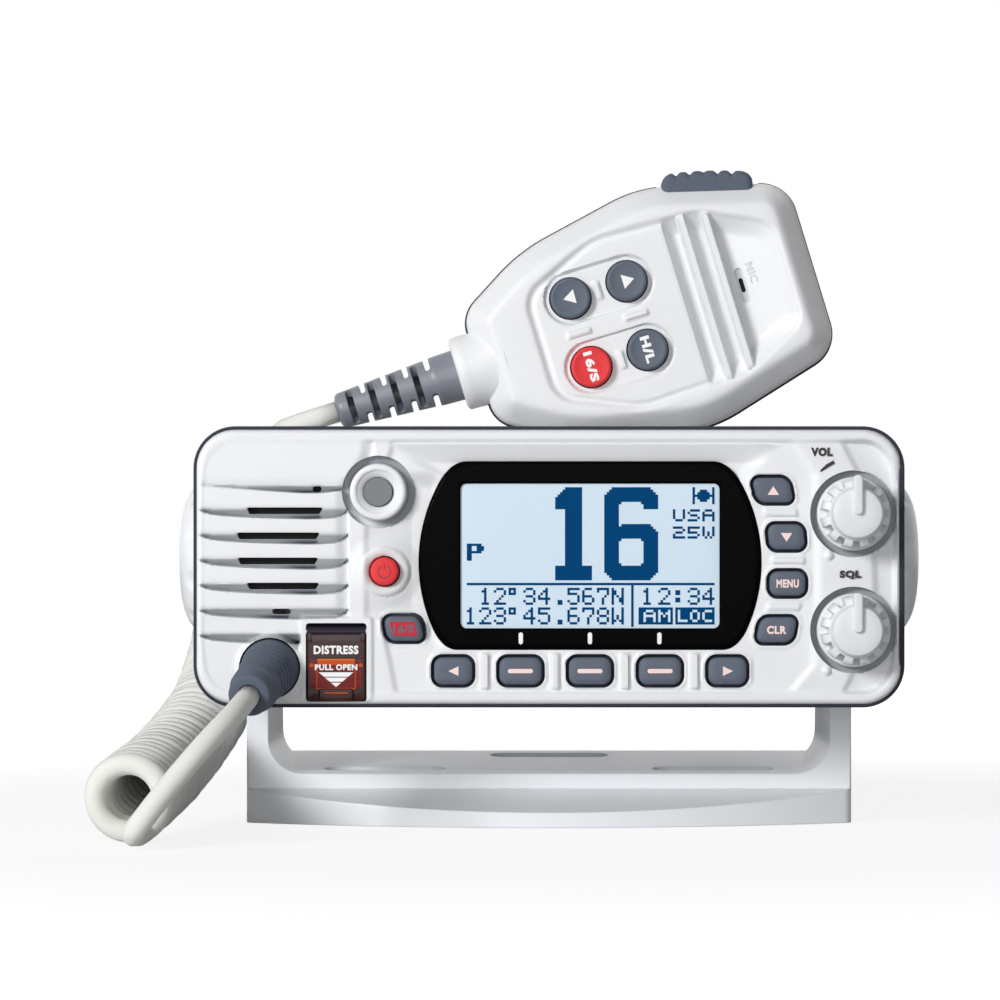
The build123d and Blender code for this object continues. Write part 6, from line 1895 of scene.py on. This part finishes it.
# ---------------------------------------------------------------- cord
@dataclass
class FaceBoot:
    """Slit rubber boot that leads the cord out of the face at a slant."""

    start: Point3 = (-61.1, -58.0, 36.4)
    end: Point3 = (-64.0, -78.0, 31.1)
    root: float = 6.35
    collar: float = 4.95
    tip: float = 4.4
    sides: int = 144
    slits: tuple[float, ...] = (0.175, 0.265, 0.355, 0.455, 0.565)

    def _radius(self, share: float) -> float:
        """Plain radius along the boot."""
        return float(np.interp(share, [-0.35, 0.0, 0.14, 0.66, 0.69, 0.78, 0.8, 0.985, 1.0],
                               [6.3, self.root, self.root - 0.3, self.collar + 0.1, self.collar + 0.35,
                                self.collar + 0.3, self.collar, self.tip + 0.15, self.tip - 0.15]))

    def build(self) -> None:
        """Make the boot as a skin over rings that lean more and more."""
        start, end = np.array(self.start), np.array(self.end)
        axis = end - start
        length = float(np.linalg.norm(axis))
        axis /= length
        face = np.array([0.0, -1.0, 0.0])
        angles = np.arange(self.sides) * 2 * math.pi / self.sides
        rings: list[Array] = []
        plain = {-0.3, 0.0, 0.05, 0.1, 0.14, 0.66, 0.672, 0.69, 0.7, 0.74, 0.78, 0.79, 0.8, 0.86, 0.92, 0.97,
                 0.985, 0.995, 1.0}
        steps = (-0.024, -0.0185, -0.017, 0.017, 0.0185, 0.024)
        stops = sorted(plain | {slit + step for slit in self.slits for step in steps})
        for share in stops:
            lean = min(max(share, 0.0) / 0.14, 1.0)
            out = face * (1 - lean) + axis * lean
            out /= np.linalg.norm(out)
            across = np.cross(out, (0, 0, 1))
            across /= np.linalg.norm(across)
            up = np.cross(across, out)
            r = np.full(self.sides, self._radius(share))
            for k, slit in enumerate(self.slits):
                if abs(share - slit) < 0.018:
                    wave = np.cos(2 * angles + (0.6 if k % 2 else 0.6 + math.pi))
                    r = r - 0.6 - 1.5 * np.clip((wave + 0.1) * 6.0, 0, 1)
            centre = start + (axis if share > 0 else face) * length * share
            rings.append(centre
                         + r[:, None] * (np.cos(angles)[:, None] * across + np.sin(angles)[:, None] * up))
        rings += [start + axis * length * h
                  + r * (np.cos(angles)[:, None] * across + np.sin(angles)[:, None] * up)
                  for r, h in ((self.tip - 0.5, 1.004), (2.55, 1.004), (2.4, 0.97))]
        points, faces = lofted(rings, closed_end=True)
        place_piece("face_boot", plain_mesh("face_boot", points, faces, 35.0), BOOT.material(), Body.RADIO,
                    ["front_cord_boot"])


@dataclass
class CurlyCord:
    """The microphone cord: straight lead, coil beside the case, tail over the case to the microphone."""

    diameter: float = 0.0048
    turn_radius: float = 0.0073
    pitch: float = 0.00487
    points_per_turn: int = 16
    start_turn: float = -60.0
    end_turn: float = 0.0
    exit: Point3 = (-0.0640, -0.0780, 0.0311)
    lead: tuple[Point3, ...] = (
        (-0.0640, -0.0780, 0.0311), (-0.0654, -0.0876, 0.0286), (-0.0713, -0.0958, 0.0223),
        (-0.0793, -0.1000, 0.0126), (-0.0846, -0.1018, 0.0056), (-0.0866, -0.0998, 0.0030),
        (-0.0858, -0.0958, 0.0027))
    coil: tuple[Point3, ...] = (
        (-0.0883, -0.0920, 0.0099), (-0.0866, -0.0620, 0.0119), (-0.0836, -0.0220, 0.0172),
        (-0.0810, 0.0140, 0.0242), (-0.0802, 0.0400, 0.0316), (-0.0794, 0.0570, 0.0410))
    tail: tuple[Point3, ...] = (
        (-0.0731, 0.0650, 0.0500), (-0.0760, 0.0715, 0.0590), (-0.0740, 0.0715, 0.0710),
        (-0.0695, 0.0625, 0.0825), (-0.0645, 0.0475, 0.0896), (-0.0600, 0.0295, 0.0920),
        (-0.0585, 0.0105, 0.0912), (-0.0605, -0.0060, 0.0896), (-0.0625, -0.0185, 0.0892),
        (-0.0574, -0.0290, 0.0908), (-0.0479, -0.0290, 0.0937))

    def _spline(self, name: str, points: Sequence[Point3], resolution: int) -> bpy.types.Object:
        """A NURBS curve with these control points, no thickness."""
        curve = bpy.data.curves.new(name, "CURVE")
        curve.dimensions = "3D"
        curve.resolution_u = resolution
        spline = curve.splines.new("NURBS")
        spline.points.add(len(points) - 1)
        for point, place in zip(spline.points, points):
            point.co = (*place, 1.0)
        spline.order_u = 3
        spline.use_endpoint_u = True
        return in_scene(name, curve)

    def _read(self, line: bpy.types.Object) -> Array:
        """The points that a curve without thickness gives."""
        mesh = bpy.data.meshes.new_from_object(line.evaluated_get(bpy.context.evaluated_depsgraph_get()))
        points = np.array([v.co[:] for v in mesh.vertices])
        bpy.data.meshes.remove(mesh)
        return points

    def _turns(self) -> list[Point3]:
        """Control points of the curls, wound about the coil's own line."""
        line = self._spline("coil_line", self.coil, 40)
        axis = self._read(line)
        bpy.data.objects.remove(line)
        steps = np.linalg.norm(np.diff(axis, axis=0), axis=1)
        along = np.concatenate([[0.0], np.cumsum(steps)])
        whole = (self.end_turn - self.start_turn) / 360
        turns = round(along[-1] / self.pitch - whole) + whole
        count = int(turns * self.points_per_turn) + 1
        radius = self.turn_radius / math.cos(math.pi / self.points_per_turn)
        found: list[Point3] = []
        for k in range(count):
            share = k / (count - 1)
            here = np.array([np.interp(share * along[-1], along, axis[:, i]) for i in range(3)])
            ahead = np.array([np.interp(min(share + 0.01, 1) * along[-1], along, axis[:, i])
                              for i in range(3)])
            behind = np.array([np.interp(max(share - 0.01, 0) * along[-1], along, axis[:, i])
                               for i in range(3)])
            forward = (ahead - behind) / np.linalg.norm(ahead - behind)
            right = np.cross(forward, (0, 0, 1))
            right /= np.linalg.norm(right)
            up = np.cross(right, forward)
            a = math.radians(self.start_turn) + 2 * math.pi * turns * share
            wobble = 1 + 0.012 * math.sin(9.3 * turns * share) + 0.01 * math.sin(2.1 * turns * share + 1.0)
            found.append(tuple(here + radius * wobble * (math.cos(a) * right + math.sin(a) * up)))
        return found

    def build(self) -> None:
        """Make the cord."""
        points = [*self.lead, *self._turns(), *self.tail]
        line = self._spline("cord_line", points, 4)
        path = self._read(line)
        line.data.bevel_depth = self.diameter / 2
        line.data.bevel_resolution = 3
        line.data.use_fill_caps = True
        bpy.context.view_layer.update()
        mesh = bpy.data.meshes.new_from_object(line.evaluated_get(bpy.context.evaluated_depsgraph_get()))
        bpy.data.objects.remove(line)
        mesh.name = "curly_cord"
        mesh.shade_smooth()
        shell = bmesh.new()
        shell.from_mesh(mesh)
        bmesh.ops.remove_doubles(shell, verts=shell.verts, dist=1e-7)
        bmesh.ops.recalc_face_normals(shell, faces=shell.faces)
        shell.to_mesh(mesh)
        shell.free()
        length = float(np.linalg.norm(np.diff(path, axis=0), axis=1).sum())
        LOG.info("cord: %.3f m", length)
        piece = place_piece("curly_cord", mesh, JACKET.material(), None,
                            ["cord_lead", "cord_coil", "cord_tail"])
        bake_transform(piece)
        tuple(self.exit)


# ---------------------------------------------------------------- strain relief on the microphone
@dataclass
class MicBoot:
    """Slotted strain relief between the microphone's collar and the cord."""

    start: float = -45.4
    length: float = 28.5
    bore: float = 2.55
    cell: float = 0.33
    wrap: float = 5.0
    side_rows: tuple[float, ...] = (6.2, 11.35, 16.5, 21.65)
    front_rows: tuple[float, ...] = (9.3, 14.5, 19.7, 24.9)

    def _radius(self, along: Array) -> Array:
        """Outer radius along the boot, from the collar outwards."""
        plain = np.interp(along, [0.0, 5.2, 5.6, 28.5], [5.8, 5.62, 5.5, 3.95])
        end = np.clip((along - (self.length - 1.3)) / 1.3, 0, 1)
        return plain - 1.2 * (1 - np.sqrt(np.clip(1 - end * end, 0, 1)))

    def build(self) -> None:
        """Make the boot as a pierced sheet wrapped round the cord."""
        half_turn = math.pi * self.wrap
        holes: list[tuple[Field2D, float]] = []
        for x in self.side_rows:
            for side in (-1, 1):
                middle = side * half_turn / 2
                holes.append((capsule(x, middle - 4.6, x, middle + 4.6, 0.66), self.bore))
        for x in self.front_rows:
            holes.append((capsule(x, -5.0, x, 5.0, 0.74), self.bore))
        outline = rounded_box(self.length / 2, 0.0, self.length, 2 * half_turn, 0.01)
        relief = Relief(outline, (0.0, -half_turn), (self.length, half_turn), self.cell,
                        lambda x, z: self._radius(x), holes, [], self.bore)
        sheet, faces = relief.build()
        seam = np.abs(sheet[:, 1]) > half_turn - 0.01
        faces = [f for f in faces if not all(seam[i] for i in f)]
        top = [f for f in faces if all(sheet[i, 2] > self.bore + 0.01 for i in f)]
        inner = sheet.copy()
        inner[:, 2] = self.bore
        sheet, faces = joined([(sheet, faces), (inner, [tuple(reversed(f)) for f in top])])
        angle = -sheet[:, 1] / self.wrap
        points = MIC.place(np.column_stack([self.start - sheet[:, 0], sheet[:, 2] * np.sin(angle),
                                            sheet[:, 2] * np.cos(angle)]))
        mesh = plain_mesh("mic_boot", points, faces)
        shell = bmesh.new()
        shell.from_mesh(mesh)
        bmesh.ops.remove_doubles(shell, verts=shell.verts, dist=1e-6)
        bmesh.ops.delete(shell, geom=[v for v in shell.verts if not v.link_faces], context="VERTS")
        shell.to_mesh(mesh)
        shell.free()
        mesh.set_sharp_from_angle(angle=math.radians(40))
        place_piece("mic_boot", mesh, MIC_BOOT.material(), Body.MICROPHONE, ["mic_cord_boot"])


# ---------------------------------------------------------------- rear cover
def lathed_loop(loop: Sequence[Point2], count: int = ROUND_SIDES) -> Shape:
    """A ring-shaped solid: a closed (radius, height) loop turned about the plane's out direction."""
    points, faces = turned(loop, count)
    last = (len(loop) - 1) * count
    return points, faces + [(last + i, last + (i + 1) % count, (i + 1) % count, i) for i in range(count)]


def six_sided(angles: Array, radius: float) -> Array:
    """Radius of a hexagon whose corners lie at the given radius."""
    across = np.mod(angles + math.pi / 6, math.pi / 3) - math.pi / 6
    return radius * math.cos(math.pi / 6) / np.cos(across)


def pan_screw(radius: float, height: float, shank_radius: float, shank: float) -> Shape:
    """A pan-head screw with a six-sided drive, its head standing on level 0."""
    drive = 0.47 * radius
    profile = [(0.0, -shank), (shank_radius, 0.3 - shank), (shank_radius, 0.0), (radius - 0.08, 0.0),
               (radius, 0.08), (radius, 0.4 * height), (0.94 * radius, 0.7 * height),
               (0.78 * radius, 0.93 * height), (drive + 0.3, height), (drive, height - 0.02),
               (0.97 * drive, 0.3 * height), (0.0, 0.24 * height)]

    def rule(angles: Array, r: float, h: float) -> Array:
        """Six sides in the drive, round elsewhere."""
        return six_sided(angles, r) if h > 0 and r < drive + 0.01 else np.full(len(angles), r)

    return turned(profile, 48, radius_at=rule)


@dataclass
class RearCover:
    """Die-cast rear cover: cooling fins, cover screws, antenna socket and two cable glands."""

    width: float = 116.0
    height: float = 51.0
    base: float = 4.0
    reach: float = 14.0
    fins: int = 17
    fin_pitch: float = 6.4
    fin_height: float = 48.0
    row_start: int = 8
    boss_radius: float = 9.9
    socket: Point2 = (-38.0, 10.5)
    glands: tuple[tuple[str, Point2], ...] = (("power_gland", (-14.0, -14.5)),
                                              ("accessory_gland", (-38.0, -14.5)))
    screw_place: Point2 = (54.8, 22.3)
    thread_pitch: float = 0.92

    def _fin(self, across: float, low: float, high: float) -> Shape:
        """One tapered fin between two heights."""
        rings = []
        for wide, inset, level in ((2.5, 0.0, 3.7), (2.0, 0.0, 4.5), (1.5, 0.0, 12.9), (1.3, 0.3, 13.4),
                                   (0.8, 0.9, self.reach - 0.3)):
            tall = high - low - inset
            rings.append(box_ring(across, (low + high) / 2, wide, tall, 0.45 * min(wide, tall), level))
        return lofted(rings, closed_start=True)

    def _cover(self) -> None:
        """Base plate, a row of tapered fins and three bosses."""
        rings = [box_ring(0, 0, self.width - 2 * inset, self.height - 2 * inset, 2.5 - inset, level)
                 for inset, level in ((0.0, 0.0), (0.0, 3.3), (0.1, 3.65), (0.4, 3.9), (0.8, self.base),
                                      (2.0, self.base))]
        parts = [lofted(rings, closed_start=True)]
        left = -self.fin_pitch * (self.fins - 1) / 2
        bosses = [self.socket, *(place for _, place in self.glands)]
        end, whole = self.fin_height / 2, []
        for i in range(self.fins):
            across = left + i * self.fin_pitch
            cuts = sorted((up - half, up + half) for x, up in bosses if abs(x - across) < self.boss_radius
                          for half in [math.sqrt(self.boss_radius ** 2 - (x - across) ** 2) - 0.25])
            ends = [-end, *(edge for cut in cuts for edge in cut), end]
            if cuts:
                spans = zip(ends[::2], ends[1::2])
                parts += [self._fin(across, low, high) for low, high in spans if high - low > 1.5]
            elif i < self.row_start:
                whole.append(self._fin(across, -end, end))
        parts += whole
        row = self._fin(left + self.row_start * self.fin_pitch, -end, end)
        parts.append(Copies.make(row, self.fins - self.row_start, CAST, (self.fin_pitch, 0, 0)))
        r = self.boss_radius
        for place, bore in zip(bosses, (7.3, 5.2, 5.2)):
            parts.append(moved(lathed_loop([(bore, 3.8), (r, 3.8), (r, 13.5), (r - 0.5, 14.0),
                                            (bore + 0.3, 14.0), (bore, 13.7)]), *place))
        raised("rear_cover", parts, BACK, CAST, Body.RADIO, ["heatsink"], 35.0)

    def _screws(self) -> None:
        """Four cover screws."""
        across, up = self.screw_place
        screw = moved(pan_screw(2.2, 1.8, 1.4, 3.0), -across, -up, self.base)
        pair = Copies.make(screw, 2, STEEL, (0, 2 * up, 0))
        raised("cover_screws", [Copies.make(pair, 2, STEEL, (2 * across, 0, 0))], BACK, STEEL, Body.RADIO,
               ["case_screws"], 35.0)

    def _socket(self) -> None:
        """Threaded antenna socket with its nut, insulator and contact."""
        def rule(angles: Array, r: float, h: float) -> Array:
            """Six sides on the nut, round elsewhere."""
            return six_sided(angles, r) if r > 8.3 else np.full(len(angles), r)

        nut = turned([(0.0, 13.9), (8.9, 13.9), (9.1, 14.1), (9.1, 15.9), (8.8, 16.2), (7.6, 16.25),
                      (0.0, 16.25)],
                     ROUND_SIDES, radius_at=rule)
        barrel = lathed_loop([(5.6, 15.5), (7.35, 15.5), (7.35, 24.7), (7.1, 25.0), (5.85, 25.0),
                              (5.6, 24.75)])
        ring = lathed_loop([(7.2, 16.6), (7.88, 16.92), (7.88, 17.08), (7.2, 17.4)])
        thread = Copies.make(ring, 8, PLATED, (0, 0, self.thread_pitch))
        contact = lathed_loop([(2.0, 16.0), (2.75, 16.0), (2.75, 23.8), (2.5, 24.0), (2.2, 24.0),
                               (2.0, 23.7)])
        seat = turned([(0.0, 2.0), (6.9, 2.0), (6.9, 13.9), (0.0, 13.9)], ROUND_SIDES)
        raised("antenna_connector",
               [moved(part, *self.socket) for part in (nut, barrel, thread, contact, seat)], BACK, PLATED,
               Body.RADIO, ["antenna_socket"], 35.0)
        disc = lathed_loop([(2.7, 15.9), (5.65, 15.9), (5.65, 21.4), (5.4, 21.7), (2.95, 21.7), (2.7, 21.5)])
        raised("antenna_insulator", [moved(disc, *self.socket)], BACK, WHITE_KNOB, Body.RADIO)

    def _gland(self, name: str, place: Point2) -> None:
        """One ribbed rubber cable gland."""
        core = turned([(0.0, 1.0), (5.0, 1.0), (5.0, 14.0), (5.9, 14.0), (5.9, 16.5), (5.4, 16.9),
                       (3.2, 17.0), (2.7, 16.7), (2.6, 16.2), (2.6, 9.0), (0.0, 9.0)], ROUND_SIDES)
        rib = lathed_loop([(5.6, 14.05), (6.35, 14.05), (6.5, 14.2), (6.5, 14.5), (6.35, 14.65),
                           (5.6, 14.65)])
        ribs = Copies.make(rib, 3, SILICONE, (0, 0, 0.95))
        raised(f"{name}_ribbed", [moved(core, *place), moved(ribs, *place)], BACK, SILICONE, Body.RADIO,
               [name], 35.0)

    def build(self) -> None:
        """Make the cover and what sits in it."""
        self._cover()
        self._screws()
        self._socket()
        for name, place in self.glands:
            self._gland(name, place)


def mic_back_screws() -> None:
    """Four screws sunk in the microphone's rear shell."""
    screw = pan_screw(2.4, 1.6, 1.05, 10.6)
    pairs = [Copies.make(moved(screw, 30.0, -12.5, 10.1), 2, STEEL, (0, 25.0, 0)),
             Copies.make(moved(screw, -31.0, -12.0, 10.1), 2, STEEL, (0, 24.0, 0))]
    raised("mic_back_screws", pairs, MIC_BACK, STEEL, Body.MICROPHONE, ["mic_screws"], 35.0)


# ---------------------------------------------------------------- studio
@dataclass
class Studio:
    """Pale floor, white surroundings, soft lights and the camera."""

    eye: Point3 = (0.0, -0.858, 0.0601)
    lens: float = 131.65
    shift: Point2 = (-0.049, 0.060)
    world_strength: float = 0.15

    def camera(self) -> None:
        """Set the level camera in front of the control panel."""
        data = bpy.data.cameras.new("front_camera")
        data.sensor_width = 36.0
        data.lens = self.lens
        data.shift_x, data.shift_y = self.shift
        data.clip_start = 0.05
        data.clip_end = 50.0
        camera = in_scene("front_camera", data)
        camera.location = self.eye
        camera.rotation_euler = (math.radians(90), 0, 0)
        bpy.context.scene.camera = camera

    def world(self) -> None:
        """Surroundings that are white to look at and plainly bright to light with."""
        world = bpy.data.worlds.new("studio_world")
        world.use_nodes = True
        wires = Wiring(world.node_tree)
        ray = wires.add("ShaderNodeLightPath").outputs
        seen = wires.add("ShaderNodeMath", {0: ray["Is Camera Ray"], 1: ray["Is Transmission Ray"]},
                         operation="MAXIMUM")
        both = wires.add("ShaderNodeMath", {0: seen.outputs[0], 1: ray["Is Glossy Ray"]}, operation="MAXIMUM")
        spread = wires.add("ShaderNodeMapRange",
                           {"Value": both.outputs[0], "To Min": self.world_strength, "To Max": 1.0})
        wires.feed(world.node_tree.nodes["Background"],
                   {"Color": (1, 1, 1, 1), "Strength": spread.outputs["Result"]})
        bpy.context.scene.world = world

    def lamp(self, name: str, place: Point3, aim: Point3, size: float, power: float) -> None:
        """One soft square lamp aimed at a point."""
        data = bpy.data.lights.new(name, "AREA")
        data.shape = "SQUARE"
        data.size = size
        data.energy = power
        lamp = in_scene(name, data)
        lamp.location = place
        lamp.rotation_euler = (Vector(aim) - Vector(place)).to_track_quat("-Z", "Y").to_euler()

    def floor(self) -> None:
        """A pale floor, white where nothing shades it."""
        side = 3.0
        mesh = bpy.data.meshes.new("studio_floor")
        mesh.from_pydata([(-side, -side, 0), (side, -side, 0), (side, side, 0), (-side, side, 0)], [],
                         [(0, 1, 2, 3)])
        floor = in_scene("studio_floor", mesh)
        floor.location = (0, 0, -0.0002)
        material = bpy.data.materials.new("studio_floor")
        material.use_nodes = True
        nodes, wires = material.node_tree.nodes, Wiring(material.node_tree)
        shader = nodes["Principled BSDF"]
        wires.feed(shader, {"Base Color": (0.72, 0.72, 0.72, 1), "Roughness": 0.9, "Specular IOR Level": 0.1})
        glow = wires.add("ShaderNodeEmission", {"Color": (1, 1, 1, 1), "Strength": 1.1})
        place = wires.add("ShaderNodeTexCoord").outputs["Object"]
        away = wires.add("ShaderNodeVectorMath", {0: place}, operation="LENGTH")
        fade = wires.add("ShaderNodeMapRange",
                         {"Value": away.outputs["Value"], "From Min": 0.16, "From Max": 0.42,
                          "To Min": 0.78, "To Max": 1.0})
        seen = wires.add("ShaderNodeLightPath").outputs["Is Camera Ray"]
        share = wires.add("ShaderNodeMath", {0: seen, 1: fade.outputs["Result"]}, operation="MULTIPLY")
        mix = wires.add("ShaderNodeMixShader", {"Fac": share.outputs[0], 1: shader.outputs["BSDF"],
                                                2: glow.outputs["Emission"]})
        wires.feed(nodes["Material Output"], {"Surface": mix.outputs["Shader"]})
        mesh.materials.append(material)

    def build(self) -> None:
        """Set up everything round the radio."""
        bpy.context.scene.view_settings.view_transform = "Standard"
        self.camera()
        self.world()
        self.floor()
        self.lamp("key_lamp", (-1.0, -1.3, 0.55), (0.0, 0.0, 0.06), 0.45, 22.0)
        self.lamp("fill_lamp", (-0.1, -1.6, 0.03), (0.0, 0.0, 0.03), 0.7, 5.6)
        self.lamp("rear_lamp", (0.3, 1.2, 1.0), (0.0, 0.0, 0.06), 0.9, 2.2)


def build() -> None:
    """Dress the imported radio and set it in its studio."""
    logging.basicConfig(level=logging.INFO, format="%(name)s: %(message)s")
    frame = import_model()
    Studio().build()
    dress_cad_nodes(frame["nodes"])
    CurlyCord().build()
    panel = ControlPanel()
    panel.build()
    Display(panel).build()
    Keypad(panel).build()
    RotaryKnob("volume_knob", Body.VOLUME, panel.wells[0]).build()
    RotaryKnob("squelch_knob", Body.SQUELCH, panel.wells[1]).build()
    panel_lettering()
    Microphone().build()
    TalkKey().build()
    DistressLid().build()
    FaceBoot().build()
    MicBoot().build()
    RearCover().build()
    mic_back_screws()
    for side in (-1, 1):
        ClampKnob(side).build()


if __name__ == "__main__":
    build()
